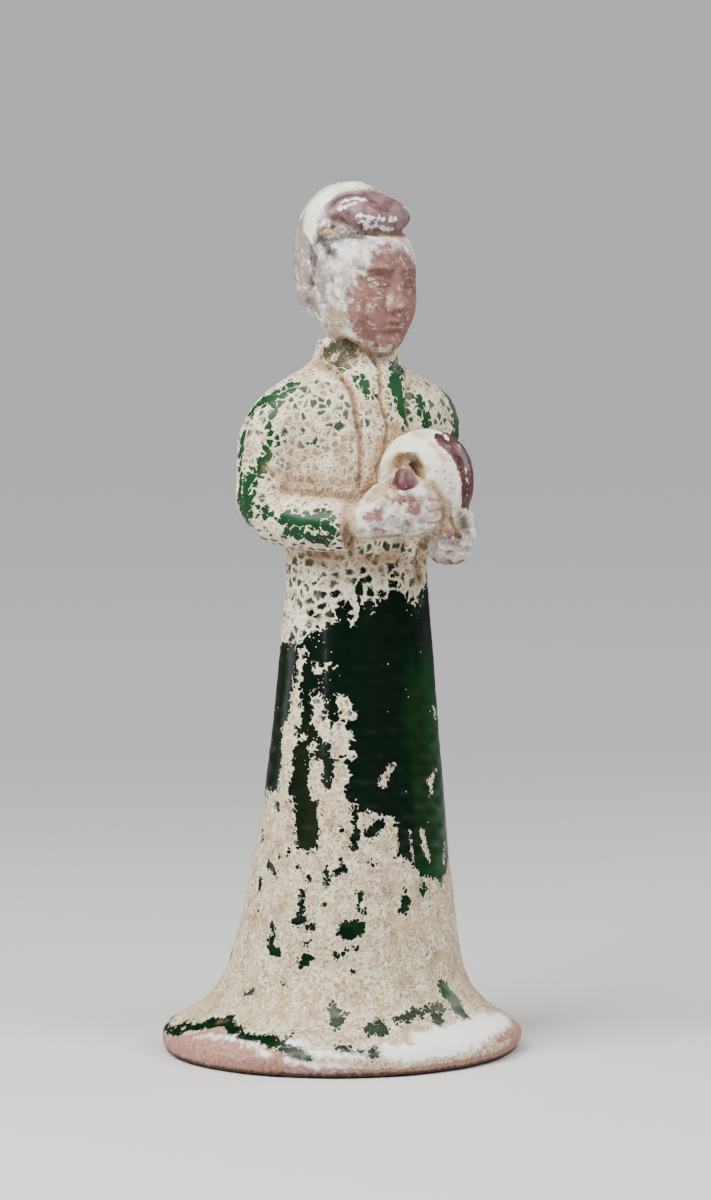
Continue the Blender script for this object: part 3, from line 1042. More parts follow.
# On the rest of the body a place is in millimetres.
bodyMarks = {
    "green": [  # green on the collar, the breast, the shoulders and the arms
        [2.5, [-16, -14, 289], [-14, -16, 291], [-11, -20, 293], [-10, -22, 291]], [1.7, [-16, -17, 286],
        [-14, -21, 285], [-12, -23, 284]], [1.5, [-8, -26, 281], [-8, -29, 277], [-9, -32, 272]],
        [1.1, [-11, -29, 277], [-11, -31, 274]], [0.7, [-5, -32, 272]], [4, [10, -25, 283], [8, -30, 276],
        [7, -33, 270]], [3.2, [8, -33, 271], [8.5, -35, 263]], [0.9, [13, -25, 281], [10, -32, 272],
        [9, -35, 263]], [2.9, [19, -30, 270], [19.4, -32, 264], [20.4, -32, 259.6]], [4.6, [40, -18, 273],
        [41, -21, 266], [42, -21, 259], [42, -21, 247]], [3.6, [44, -15, 270], [46, -14, 258],
        [46, -14, 248]], [3.8, [-48, -10, 267], [-45, -12, 270], [-42, -15, 273], [-37, -17, 276]],
        [1.3, [-45, -19, 268], [-47, -20, 262], [-48, -20, 258], [-45, -22, 254]], [2, [-48, -20, 252],
        [-49, -19, 246], [-51, -17, 242], [-53, -15, 239]], [2.1, [-53, -8, 255], [-54, -8, 248],
        [-54, -8, 240], [-54, -8, 232], [-53, -8, 224]], [3.4, [-54, -13, 240], [-54, -12, 232],
        [-52, -10, 221]], [2, [-50, -17, 226], [-48, -19, 225], [-47, -21, 225]], [3.2, [-44, -28, 223],
        [-41, -33, 222], [-38, -37, 222.4], [-35, -40, 223.4]], [2.5, [-44, -27, 217.6], [-38, -35, 216.4],
        [-31, -41, 216]], [2.4, [-44, -29, 220], [-41, -33, 218]], [2.1, [-38, -38, 220], [-37, -40, 216]],
        [3, [-33, -42, 222], [-32, -43, 219], [-29, -43, 215]], [1.4, [-36, -40, 217], [-32, -42, 215]],
        [1.5, [-31, -27, 253]], [0.8, [-30, -28, 256]], [4, [44, -10, 266], [48, -4, 258], [49, -2, 246]],
        [3.4, [47, -12, 236], [46, -8, 226]], [4.5, [-40, 6, 262], [-34, 12, 254]], [3.6, [-8, 14, 262],
        [-4, 15, 248], [-2, 14, 236]], [3.2, [24, 12, 266], [28, 11, 256], [26, 12, 244]],
        [3, [-24, 12, 236], [-20, 13, 226]], [3.6, [10, 14, 224], [14, 13, 216]], [2.6, [38, -30, 224],
        [34, -36, 222]],
    ],
    "thinCells": [  # crust that is thin within its cells
        [7, [-37, -19, 270], [-26, -26, 268]], [5, [-28, -27, 258], [-20, -30, 262]], [7, [36, -22, 266],
        [30, -26, 262]], [3, [-9, -34, 264], [-7, -34, 256]], [6.4, [-50, -13, 221], [-46, -21, 216],
        [-40, -28, 213], [-34, -36, 212], [-26, -39, 212]], [5, [-44, -20, 210], [-36, -28, 209],
        [-26, -36, 209]],
    ],
    "openCells": [  # cells whose crust has gone
        [1.4, [-29, -24, 275]], [1.2, [-24, -27, 274]], [1.2, [-28, -27, 271]], [1.1, [-25, -29, 270]],
        [1, [-23, -30, 267]], [1.6, [-24, -31, 260]], [1.8, [-46, -21, 249]], [1.2, [-37, -25, 267],
        [-35, -26, 264]], [0.9, [-38, -24, 262]], [0.8, [-9, -35, 263]], [1.2, [-49, -19, 239],
        [-47, -20, 239]], [1, [-24, -30, 247]], [0.8, [-42, -23, 259]], [0.8, [-29, -20, 278]],
        [0.8, [-35, -26, 259]], [0.8, [-31, -28, 256]], [1.4, [30, -27, 268]], [1.2, [27, -29, 261]],
    ],
    "faintSoil": [  # a faint stain on the breast and at the waist
        [3, [-18, -11, 290], [-14, -18, 291], [-6, -24, 288]], [3, [-30, -20, 209], [-20, -28, 207],
        [-6, -33, 206], [6, -34, 206]], [3, [-48, -18, 243], [-40, -24, 240]], [3.4, [-40, -22, 238],
        [-32, -26, 238], [-22, -31, 237], [-15, -33, 237]], [3, [-14, -33, 238], [-8, -36, 240]],
    ],
    "soil": [  # soil in the folds of the breast, on the hands, in the cuffs, on the hat and the neck
        [1.6, [-43, -20, 235], [-36, -23, 233.6], [-28, -27, 232.6], [-21, -31, 232.6], [-15, -33, 232]],
        [2, [-24, -26, 208], [-30, -22, 211]], [1.5, [-25, -11, 282], [-20, -14, 284], [-20, -20, 282],
        [-17, -24, 281]], [2.2, [-14, -14, 298], [-10, -22, 295], [-3, -25, 291], [0, -24, 287]],
        [2.6, [8, -44, 212], [12, -38, 206]], [3, [16, -32, 204], [18, -31, 198]], [4.2, [-4, -36, 252],
        [-6, -36, 240], [-10, -36, 234]], [3.4, [3, -36, 258], [4, -37, 248]], [1.3, [2, -64, 235.6],
        [6.4, -64, 232], [9.6, -63, 226], [9.4, -60, 221]], [0.7, [-22, -50, 215], [-14, -54, 214.4]],
        [0.4, [2, -63, 227], [6, -63, 228]], [0.4, [3, -63, 226], [3, -64, 224]], [1.2, [4, -60, 217],
        [9, -60, 218], [9, -58, 215]], [1, [13.4, -60.7, 223], [14.6, -60.6, 219.6], [18.6, -57.5, 215.4]],
        [0.8, [18, -46, 205], [20, -45, 204]], [1.6, [-26, -44, 226], [-27, -45, 219], [-24, -45, 213]],
        [3, [-19, -51, 232], [-16, -53, 235], [-9, -50, 238]], [2.4, [1, -63, 238], [4, -64, 234.6],
        [7, -64, 230], [9, -62.5, 225.4], [10, -59.6, 221]], [0.9, [-9, -42, 241], [-10, -46, 238.6],
        [-9, -48, 240], [-7, -51, 246]], [1, [-3, -53, 246.6], [-0.6, -53, 244.6]], [1, [-9, -56, 233],
        [-11, -54, 236]], [1.4, [-17, -19, 304], [-18, -22, 307], [-16, -24, 306], [-15, -22, 302]],
        [1.8, [-15, -18, 299], [-12, -21, 295], [-7, -24, 292]], [0.8, [-19, -23, 312]],
        [0.7, [-20, -13, 310]], [1.6, [-15, -18, 298], [-10, -22, 294], [-5, -24, 291], [1, -24, 290],
        [8, -20, 291]],
    ],
    "deepSoil": [  # dark soil in the deepest creases
        [0.9, [-36, -23, 233.6], [-28, -27, 232.6], [-21, -31, 232.6], [-15, -33, 232]],
        [1.4, [-30, -22, 211], [-22, -27, 209]], [0.9, [-19, -11.4, 285.4], [-19, -19, 283.4],
        [-17, -23.4, 281.6]], [1.6, [16, -34, 206], [18, -31, 198]], [0.9, [-13, -20, 294], [-8, -24, 292],
        [-2, -25, 290.6]], [0.7, [-20, -51, 214.6], [-12.4, -56, 214.4], [-5.8, -58, 214.4],
        [-1, -60, 215.6]], [0.7, [-26, -45, 220.6], [-25, -48, 218.8], [-22.6, -51, 218.6]],
        [0.9, [-10, -56, 235], [-9, -57, 232]], [0.8, [0, -60, 216.6], [11, -55, 217.6]],
        [0.7, [13.8, -60, 222.4], [20.6, -54.4, 215.4]], [0.7, [9.4, -62, 225], [10, -60, 219],
        [9, -58, 215]], [0.9, [14, -60.6, 221], [16, -59.6, 217.6]], [0.8, [10, -63, 230], [12, -62, 224],
        [12, -61, 219]], [0.9, [-2, -53, 247], [0, -53, 244.6], [0.4, -53, 241.6]], [0.9, [-20, -15, 339],
        [-17, -20, 338.4], [-13, -24, 338]],
    ],
    "worn": [  # where the slip is worn off the hands
        [0.9, [-14.6, -53.8, 231], [-13, -56, 230.6]], [2.4, [-22, -52, 225], [-20, -54.4, 223.8],
        [-18, -56, 225.4]], [1.5, [-12.6, -58, 229.4]], [2.3, [-10, -59, 230.6], [-6.4, -60.7, 231],
        [-3.5, -62.3, 229.8]], [2.4, [-7, -61.7, 226.4], [-5, -62.4, 226.6]], [1.6, [-19, -54, 218.8],
        [-17.3, -55.6, 219.3]], [1.7, [-7.4, -61.4, 222]], [1.5, [-1.6, -63, 222.4]],
        [0.8, [-14, -59, 225]], [1.3, [-8, -61, 222], [-6, -61, 221]], [1.2, [-2, -63, 222]],
        [1.2, [-18, -55, 219], [-17, -56, 219]], [0.6, [-12, -59, 220], [-11, -60, 220]],
        [0.8, [-15, -54, 231]], [1, [12, -62, 217], [17, -58, 216]], [0.9, [12, -60, 210]],
        [1.4, [6, -61, 218], [9, -60, 215]], [0.8, [10, -61, 220], [13, -62, 213]], [0.6, [15, -46, 206],
        [18, -51, 205], [22, -56, 205]], [2, [27, -48, 222], [28, -46, 214]],
    ],
    "smudges": [  # dark smudges on the hands
        [0.9, [-18, -53, 216.3], [-13.8, -55.6, 215.7], [-9, -58, 216.3]], [0.9, [-8, -59.6, 217.6],
        [-5, -60.4, 217.5]], [0.9, [-1.4, -62, 218.7], [2.9, -60, 216.5]], [1.4, [9.7, -61.7, 215.9],
        [11.2, -61.8, 213]], [1.5, [20, -54, 215.4], [21.9, -55.6, 215], [20, -55.4, 213.3]],
        [0.9, [12.2, -60.3, 210], [15.3, -58.7, 209.5]], [1.7, [17.2, -60.9, 225.2], [22.6, -56.7, 220.8],
        [22, -59.7, 216.8]], [1.3, [20.9, -57.8, 209.7], [22, -59.7, 211.8]], [0.8, [4.3, -62.4, 221],
        [5.4, -62.9, 222.3]], [1.2, [14, -50, 208], [20, -53, 206]],
    ],
    "aubergine": [  # aubergine glaze on the hat
        [2.9, [10, -59, 255], [13, -61, 251], [16, -63, 246], [18, -63, 240], [19, -63, 235],
        [19.6, -62, 230]], [3.6, [15, -56, 256], [19, -59, 251], [22, -61, 244], [23, -61, 236],
        [24, -59, 230]], [3.8, [22, -56, 252], [25, -56, 244], [26, -56, 236], [26, -54, 229]],
        [6, [20, -46, 256], [26, -46, 248], [28, -46, 238], [28, -44, 228]], [4, [14, -44, 258],
        [16, -50, 258]], [2.4, [2, -44, 258], [8, -46, 259]],
    ],
    "pink": [  # a pink bloom on the hat
        [1.6, [7, -63, 249], [8, -64, 247]], [1, [4, -60, 253], [5, -61, 252]], [1.2, [2, -54, 257],
        [4, -54, 257]],
    ],
    "hollow": [  # greenish glaze in the hat's hollow
        [3.6, [1, -56, 244], [2, -57, 240]],
    ],
    "knobLight": [  # the knob's light side
        [2.2, [-5, -58.6, 243.6], [-3.6, -60.6, 239], [-2.6, -61.4, 233]],
    ],
    "flakes": [  # white flakes on the topknot and the hat
        [0.9, [-13, -20, 348], [-10, -21, 350], [-8, -23, 351]], [1, [-8, -23, 352], [-6, -26, 351]],
        [0.6, [-13, -21, 348], [-11, -24, 348], [-9, -25, 349]], [0.6, [-11, -29, 345], [-9, -31, 345],
        [-6, -32, 344], [-1, -33, 344]], [0.9, [-10, -30, 343], [-7, -31, 342], [-7, -29, 340]],
        [0.8, [-6, -30, 340], [-3, -31, 341], [0, -30, 340], [5, -30, 340]], [0.9, [3, -32, 344],
        [6, -32, 344]], [0.7, [-19, -15, 342], [-18, -18, 342]], [1, [12, -24, 347], [15, -20, 344]],
        [0.15, [19, -62, 244], [18.6, -63, 240], [20.4, -62.6, 236], [19.4, -63, 232]],
        [0.8, [9, -54, 258], [12, -55, 257.6], [13, -58, 255.6]], [0.5, [10.4, -61, 252],
        [12.4, -61, 251]], [0.4, [18, -60, 252]], [0.4, [12.6, -59, 254.8]], [0.8, [27, -50, 246],
        [28, -48, 236]],
    ],
    "straw": [  # straw-coloured glaze on the hat and along the topknot
        [1.3, [1, -52, 257], [2, -56, 256], [5, -57, 256]], [1.6, [-10, -44, 242], [-10, -49, 245],
        [-8, -52, 247], [-4, -54, 248]], [1.2, [-19.4, -13, 342], [-18, -15, 345], [-15, -15, 350],
        [-12, -16, 354], [-7, -17, 356], [-2, -18, 356]],
    ],
    "hairSide": [  # where the slip is worn off the hair
        [2.2, [-21, -3, 344], [-22, -7, 338], [-22, -10, 334], [-22, -10, 330]], [1.4, [-22, -2, 335],
        [-22, -3, 331]], [1.2, [-20, -15, 340], [-19, -18, 339], [-20, -15, 338]], [1.3, [-22, -7, 329],
        [-23, -9, 324], [-23, -10, 319]], [0.9, [-21, -14, 331], [-21, -16, 327], [-21, -17, 322]],
        [1.2, [-21, -18, 317], [-20, -22, 319]], [0.8, [-21, -17, 314], [-20, -17, 311]],
        [1.2, [-24, -8, 315], [-22, -9, 311], [-19, -11, 307]], [2.2, [-20, 0, 343], [-21, -4, 340],
        [-22, -8, 336], [-22, -11, 331]], [1.2, [-22, -1, 333], [-22, -3, 325], [-23, -9, 315]],
        [4, [-20, 6, 338], [-20, 8, 322]], [3.6, [0, 18, 336], [5, 18, 328], [3, 18, 317]],
        [2.4, [-8, 17, 326], [-4, 18, 320]], [2, [10, 16, 340], [8, 17, 334]], [3.4, [20, 4, 336],
        [21, 3, 330], [20, 5, 322]], [3, [-12, 15, 312], [-8, 14, 306]],
    ],
    "knotSide": [  # mauve beside the topknot
        [2, [-17, -17, 345.4], [-16, -19, 344.2], [-15, -21, 343.2], [-13.4, -23, 341.8]],
        [1.9, [-20, -15.3, 337.8], [-19, -16.4, 340], [-17.6, -18.3, 341.2]],
    ],
    "recess": [  # dark under the topknot and down the hair's side
        [2, [-21, -14, 335.6], [-18, -20, 335.6], [-14, -25, 336.8], [-9, -29, 337]], [2, [-19, -18, 333],
        [-19, -22, 330]], [0.8, [-16.3, -20.6, 340.8], [-12, -24.5, 339], [-7.4, -29, 337.8],
        [-2.8, -30.6, 337.6]], [0.8, [-21, -13, 330], [-22, -13, 324], [-22, -12, 318]],
        [0.7, [-22, -11, 333], [-22, -12, 326]], [0.8, [-14.2, -16.5, 350.4], [-12.3, -17, 352.3],
        [-8.5, -19, 353.7]],
    ],
    "collarStain": [  # a dark stain on the collar
        [2.6, [-16, -12, 289.5], [-14, -16.4, 291.5], [-10.8, -20, 293.6], [-10, -22, 289.5],
        [-13, -20, 287]], [1.4, [-18, -20, 283.6], [-13.4, -20, 286]],
    ],
}
pinholes = [
    [3.7, -64, 242.1], [7.4, -64.3, 242.5], [7.6, -64.7, 239.4], [10, -64.8, 237.7], [10.8, -64.7, 240.4],
    [10, -62.7, 249.1], [10.8, -63.7, 246.2], [1.1, -63.1, 242.9], [-8.8, -59.8, 230.5],
    [-10.2, -59.8, 229.1],
]


# The crazing's own coordinates, in which every cell is one across: the cells shrink downwards.
crazeCells = [
    # height, size of the cells
    [0, 1.9], [90, 2.1], [150, 3.0], [185, 4.6], [205, 4.4], [225, 3.6], [265, 3.6], [300, 2.8], [365, 2.4],
]


# How far each place is inside the marks, in millimetres, and less than nothing outside them.
def inside(marks, distanceTo):
    return np.max([halfWidth - distanceTo(line) for halfWidth, *line in marks], axis=0)


# Distance to a line drawn on the skirt, measured along it: the turn's arc at the place's own radius, and
# the height. It is measured up to `reach`.
def alongSkirt(line, reach=14.0):
    points = np.atleast_2d(np.asarray(line, float))
    close = np.abs(places[:, 2] - points[:, 1].mean()) < np.ptp(points[:, 1]) / 2 + reach
    radius = np.hypot(places[close, 0], places[close, 1] + skirtAxis)
    first = (points[0, 0] - skirtTurn[close] + 180) % 360 - 180
    arcs = [np.column_stack([np.radians(first + turn - points[0, 0]) * radius, height - places[close, 2]])
            for turn, height in points]
    best = np.hypot(*arcs[0].T)
    for start, end in zip(arcs, arcs[1:]):
        span = end - start
        t = np.clip(-(start * span).sum(1) / np.maximum((span ** 2).sum(1), 1e-9), 0, 1)
        best = np.minimum(best, np.hypot(*(start + t[:, None] * span).T))
    distance = np.full(len(places), reach)
    distance[close] = best
    return distance


# Distance to a line drawn on the other forms, once it is laid on the body.
def alongBody(line):
    laid = laidOn(line, places, 1.6)
    if len(laid) == 1:
        return np.linalg.norm(places - laid[0], axis=1)
    return nearLine(places, laid, 14)[0]


# A field between 0 and 1 from a distance inside a mark: a half at its edge, over `soft` millimetres.
def field(distance, soft=3.0):
    return np.clip(0.5 + distance / (2 * soft), 0, 1)


# Distance out of a limb's skin: from its line, less its thickness there.
def outOfLimb(form, at=None):
    distance, share = nearLine(places if at is None else at, form["line"])
    thick = form.get("thick", form.get("radius"))
    return distance - np.interp(share, np.linspace(0, 1, len(thick)), thick)


# Distance out of the forms that the body was fused from, in millimetres, by their names.
def outOfForms():
    hands = np.min([outOfLimb(form) for hand in (rightHand, leftHand) for form in hand.values()], axis=0)
    arms = np.full(len(places), 50.0)
    for form in sleeves:
        end, before = np.array(form["line"][-1]), np.array(form["line"][-2])
        arms = np.minimum(arms, np.maximum(outOfLimb(form), (places - end) @ unit(end - before)))
    power = hat["fullness"]
    ofEgg = (np.abs((places - hat["middle"]) / hat["half"]) ** power).sum(1) ** (1 / power)
    turn = np.radians(skirtTurn)
    robe = np.hypot(x, y + 10.5) - robeReach(np.sin(turn), np.cos(turn), z - robeShape["hemThickness"])[0]
    robe = np.where(z > 288, 30, np.minimum(np.minimum(robe, arms), outOfLimb(robeTip)))
    knot = hair["topknot"]
    fromLine, share = nearLine(onHead * [0, 1, 1], knot["line"])
    thick, wide = [np.interp(share, np.linspace(0, 1, 5), knot[name]) for name in ("thick", "wide")]
    return {
        "hands": hands,
        "robe": robe,
        "hat": (ofEgg - 1) * 18,
        "knob": outOfLimb(hat["knob"]),
        "topknot": (np.hypot(fromLine / thick, onHead[:, 0] / wide) - 1) * thick,
        "roll": outOfLimb(hair["roll"], onHead),
    }


# How far each place is inside the part of the skin that a form keeps to itself: its distance out of the
# other forms, less that out of its own.
def ownParts():
    fromFront = np.abs(np.arctan2(onHead[:, 0], -onHead[:, 1]))
    rim = collar["top"] - collar["dip"] * np.clip(1 - fromFront / collar["dipSpread"], 0, 1)
    inCollar = 12.9 - np.hypot(x - headShape["middle"][0], y + 9.4)
    return {
        "head": np.minimum(np.maximum(z - rim, inCollar), z - collar["bottom"]),
        "hands": np.minimum(out["robe"], np.minimum(out["hat"], out["knob"])) - out["hands"],
        "hat": np.minimum(np.minimum(out["robe"], out["hands"]) - out["hat"], -32 - y),
        "knob": np.minimum(np.minimum(out["hat"], out["hands"]), out["robe"]) - out["knob"] + 0.6,
        "hair": np.minimum(np.maximum(behindBrow - 0.5, z - 342), z - 300),
    }


# How hollow the skin is, from -1 on a ridge to 1 in a crease: how far each place lies below its
# neighbours' mean, evened over a few rings of them.
def hollowness(rounds=6, fullDepth=0.018):
    depth = ((neighbourMean(places, edges) - places) * normals).sum(1)
    for step in range(rounds):
        depth = neighbourMean(depth, edges)
    return np.clip(depth / fullDepth, -1, 1)


x, y, z = places.T
skirtAxis = 10  # the skirt's middle lies this far back
skirtTurn = np.degrees(np.arctan2(x, -(y + skirtAxis)))
onHead = inHead(places)
skirtIn = {name: inside(marks, alongSkirt) for name, marks in skirtMarks.items()}
bodyIn = {name: inside(marks, alongBody) for name, marks in bodyMarks.items()}
out = outOfForms()
part = ownParts()
cavity = hollowness()
waist = 212  # the height that parts the skirt's glaze from the breast's
handTop = 226
print("marks laid:", len(skirtIn) + len(bodyIn), "kinds")


# How far each place is inside the green glaze: the skirt's band between its wavering edges, without the
# beige marks in it and with the green ones outside it, and the marks on the breast and arms.
def greenDepth():
    top, bottom = [np.array(skirtEdges[name]) for name in ("top", "bottom")]
    band = np.minimum(np.interp(skirtTurn, *top.T) - z, z - np.interp(skirtTurn, *bottom.T))
    edgeAway = np.min([alongSkirt(span) for edge in (top, bottom) for span in zip(edge, edge[1:])], axis=0)
    waver = 3.0 * unevenness(places, 24, seed=21) * ease(np.abs(skirtTurn + 25), 84, 100)
    green = np.sign(band) * edgeAway + waver + 1.5 * unevenness(places, 9, seed=33)
    green = np.minimum(green, -1.7 * skirtIn["beigeInGreen"])
    spots = np.maximum(skirtIn["greenOutside"], skirtIn["greyGreen"])
    green = np.maximum(green, 1.4 * np.maximum(spots, 1.2 * skirtIn["greenLine"]) + 0.5)
    onArms = (x > 4) | (x < -50) | ((z < handTop) & (y < -24))
    above = np.minimum(bodyIn["green"] + 0.5, np.where(onArms, 3.2, 2.0))
    return np.maximum(np.where(z > waist, -9, green), above)


# The crust's thickness, whose edge is at a half: thin at the waist and in the thin and open cells, and
# falling off into the green.
def crustField():
    thickness = 0.92 - 0.06 * ease(z, 236, 250) + 0.06 * unevenness(places, 16, seed=4)
    thickness -= 0.23 * ease(z, 165, 186) * (1 - ease(z, 210, 222))
    thickness -= 0.22 * field(bodyIn["thinCells"], 5)
    thickness = np.minimum(thickness, 0.95 - 0.5 * field(bodyIn["openCells"] + 0.3, 1.4))
    return np.minimum(0.5 - greenDepth() / np.where(z > waist, 6.5, 8.0), thickness)


# Where a grey veil lies over the green: in the grey marks, half as much on the skirt, and in the cells.
def veilField():
    openCells = bodyIn["openCells"] * (z > waist) - 9 * (z < waist)
    veil = field(np.maximum(skirtIn["greyGreen"], openCells) - 0.2, 2.4) * (1 - 0.5 * (z < waist))
    return np.maximum(veil, 0.6 * field(bodyIn["thinCells"], 5) * (z > 230))


# The white slip: in its marks at the hem, nearly all over the hands, worn off an oval of the face, and on
# the hair in flakes.
def slipField():
    hands = 0.93 - 0.14 * ease(x, 8, 13) * (z < handTop) - 0.72 * field(bodyIn["worn"], 2.4)
    oval = 1 - np.hypot(onHead[:, 0] / 19.2, (z - headShape["chinHeight"] - 21.4) / 21.4)
    worn = np.clip(0.5 + 2.4 * oval + 0.22 * unevenness(places, 9, seed=14), 0, 1)
    worn = worn * ease(-onHead[:, 1], 9, 13) * (1 - 0.3 * ease(cavity, 0.2, 1.0))
    face = 0.88 - 0.66 * worn + 0.07 * unevenness(places, 5, seed=17)
    combed = 0.60 - 0.42 * field(bodyIn["hairSide"], 2.4) + 0.16 * unevenness(places, 8, seed=6)
    head = np.where(part["hair"] > 0, combed, face)
    head = np.where(np.maximum(knotField, 0.1 + knotSide) > 0.5, 0.56 * field(flakes, 1.8) + 0.1, head)
    upper = np.where(isHead > 0.5, head, np.where(isHand > 0.5, hands, 0))
    return np.maximum(field(skirtIn["whiteSlip"], 3) * (z < 40), upper)


# The ring of soil inside each cuff's lip.
def cuffSoil():
    ring = np.full(len(places), -9.0)
    for form in sleeves:
        end = np.array(form["line"][-1])
        way = unit(end - form["line"][-2])
        past = (places - end) @ way
        outward = np.linalg.norm(places - end - past[:, None] * way, axis=1)
        ring = np.maximum(ring, 3.2 - np.hypot(past - 1.2, 0.6 * (outward - form["radius"][-1] + 3.4)))
    return field(ring, 1.6)


# How strong and how wide the soil is along the drawn lines.
lineSoil = {
    "left": [1.5, 1.05], "seam": [1.4, 0.95], "right": [0.7, 0.8], "collarEdge": [0.7, 1.2],
    "fingers": [1.3, 0.6], "farHand": [1.2, 1.2], "fingerEnds": [1.3, 1.0], "underKnot": [0.85, 0.9],
}


# Soil: in its marks, along the drawn lines, round the knob's foot and tip, and inside the cuffs.
def soilField():
    atTip = z > 243.5
    roundKnob = np.where(atTip, 2.4 - np.abs(out["knob"] - 1.2), 1.2 - np.abs(out["knob"] - 1.9))
    roundKnob = field(roundKnob, 1.0) * ((x > -5) | atTip) * ease(z, 237, 239) * (z < 250) * (y < -44)
    soil = [
        field(bodyIn["soil"], 2.4),
        1.5 * field(bodyIn["deepSoil"], 1.1),
        1.5 * roundKnob,
        0.68 * field(bodyIn["faintSoil"], 4),
        cuffSoil(),
    ]
    for name, (amount, wide) in lineSoil.items():
        soil.append(amount * np.exp(-(lineDistance[name] / wide) ** 2))
    return np.max(soil, axis=0)


# The paint left of the eyes and brows: a round pupil, the upper lid's line and a fading arc over it.
def inkField():
    beside, height = np.abs(onHead[:, 0]), z - headShape["chinHeight"]
    across = (beside - eye["beside"]) / eye["half"]
    pupil = np.exp(-((beside - eye["beside"]) ** 2 + (height - eye["height"] - 0.2) ** 2) / 0.9 ** 2)
    lash = np.exp(-((height - lidLines(across)[0] + 0.2) / 0.4) ** 2) * (np.abs(across) < 1.1)
    brow = np.exp(-((height - 33.4 + ((beside - 8) / 6) ** 2) / 0.8) ** 2) * (np.abs(beside - 8) < 5.4)
    return np.clip(0.9 * pupil + 0.5 * lash + 0.35 * brow, 0, 1) * (onHead[:, 1] < -14)


# How bright the green is: most on the breast, and where the glaze ran thin on the skirt's left.
def brightField():
    skirtLeft = ease(skirtTurn, -5, 42) * (1 - ease(z, 150, 182)) * (1 - ease(skirtTurn, 60, 90))
    bright = 0.85 * ease(z, 205, 222) + 0.15 * ease(z, 226, 246) + 0.62 * skirtLeft
    return np.clip(bright + 0.25 * (1 - ease(z, 70, 90)), 0, 1)


isHead, isHand = field(part["head"], 0.5), field(part["hands"], 0.6)
knotField = field(np.minimum(1.2 - out["topknot"], 1.4 * (out["roll"] - out["topknot"]) + 1.6), 1.2)
knotField = knotField * ease(z, 335, 338)
knotSide = field(bodyIn["knotSide"], 1.2)
flakes = bodyIn["flakes"] + 0.5 * unevenness(places, 3, seed=9)
inRoll = np.minimum(1.1 - out["roll"], out["topknot"] - out["roll"] + 0.4)
roll = field(inRoll - 5 * ease(334 - z, 0, 8), 1.4)
knobGlaze = part["knob"] + 0.4 + 1.4 * ease(z, 242, 245) * (out["knob"] < 0.4)
clayEdge = np.interp(skirtTurn, *np.array(skirtEdges["clayTop"]).T) - z
clayEdge += 0.7 * unevenness(places, 9, seed=31)
onHat = field(bodyIn["aubergine"] + 0.9, 2.4) * (part["hat"] > -0.5)
toPinhole = np.min([np.linalg.norm(places - laidOn(spot, places), axis=1) for spot in pinholes], axis=0)
fields = {
    "crust": crustField(),
    "net": 0.42 + 0.58 * ease(z, 95, 165),
    "specks": field(skirtIn["specks"], 4),
    "olive": field(skirtIn["olive"], 4) * (z < 210),
    "bright": brightField(),
    "bareClay": field(np.maximum(clayEdge, skirtIn["clay"]), 1.5),
    "veiled": veilField(),
    "pink": np.where(out["knob"] < 0.9, field(bodyIn["knobLight"], 1.6), field(bodyIn["pink"], 2.4)),
    "skin": np.maximum(isHead, isHand),
    "slip": slipField(),
    "hairTint": np.maximum(np.maximum(knotField, knotSide), field(part["hair"], 1) * 0.62) * isHead,
    "cream": np.maximum(field(part["hat"], 0.6), roll * (1 - field(bodyIn["knotSide"], 1))),
    "purple": np.maximum(onHat, field(knobGlaze, 0.6)),
    "flakes": field(flakes, 2.0),
    "straw": field(bodyIn["straw"], 2),
    "hollow": field(bodyIn["hollow"], 3),
    "soil": soilField(),
    "recess": np.max([
        field(bodyIn["recess"] + 0.2, 1.8),
        1 - ease(z, 1.4, 3.2),
        0.95 * field(bodyIn["collarStain"] + 0.2, 2.0),
        0.72 * field(bodyIn["smudges"], 1.8),
    ], axis=0),
    "cavity": 0.5 + 0.5 * cavity,
    "ink": inkField(),
    "pinholes": np.exp(-toPinhole ** 2 / 0.85 ** 2),
}
spans = ["%s %.2f-%.2f" % (name, values.min(), values.max()) for name, values in fields.items()]
print("fields laid:", ", ".join(spans))

figure = meshObject("attendantFigure", places * mm, triangles)
figure.data.polygons.foreach_set("use_smooth", np.ones(len(triangles), bool))
for name, values in fields.items():
    layer = figure.data.attributes.new(name, "FLOAT", "POINT")
    layer.data.foreach_set("value", np.asarray(values, np.float32))
crazePlace = figure.data.attributes.new("crazePlace", "FLOAT_VECTOR", "POINT")
crazePlace.data.foreach_set("vector", byLocalSize(places, crazeCells, 3000)[0].astype(np.float32).ravel())
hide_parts("attendant_figure")
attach(figure, "root")
print("figure made:", len(figure.data.vertices), "places")


# A colour as a screen shows it, turned into linear light.
def shade(*screen):
    return tuple(v / 12.92 if v <= 0.04045 else ((v + 0.055) / 1.055) ** 2.4 for v in screen) + (1,)


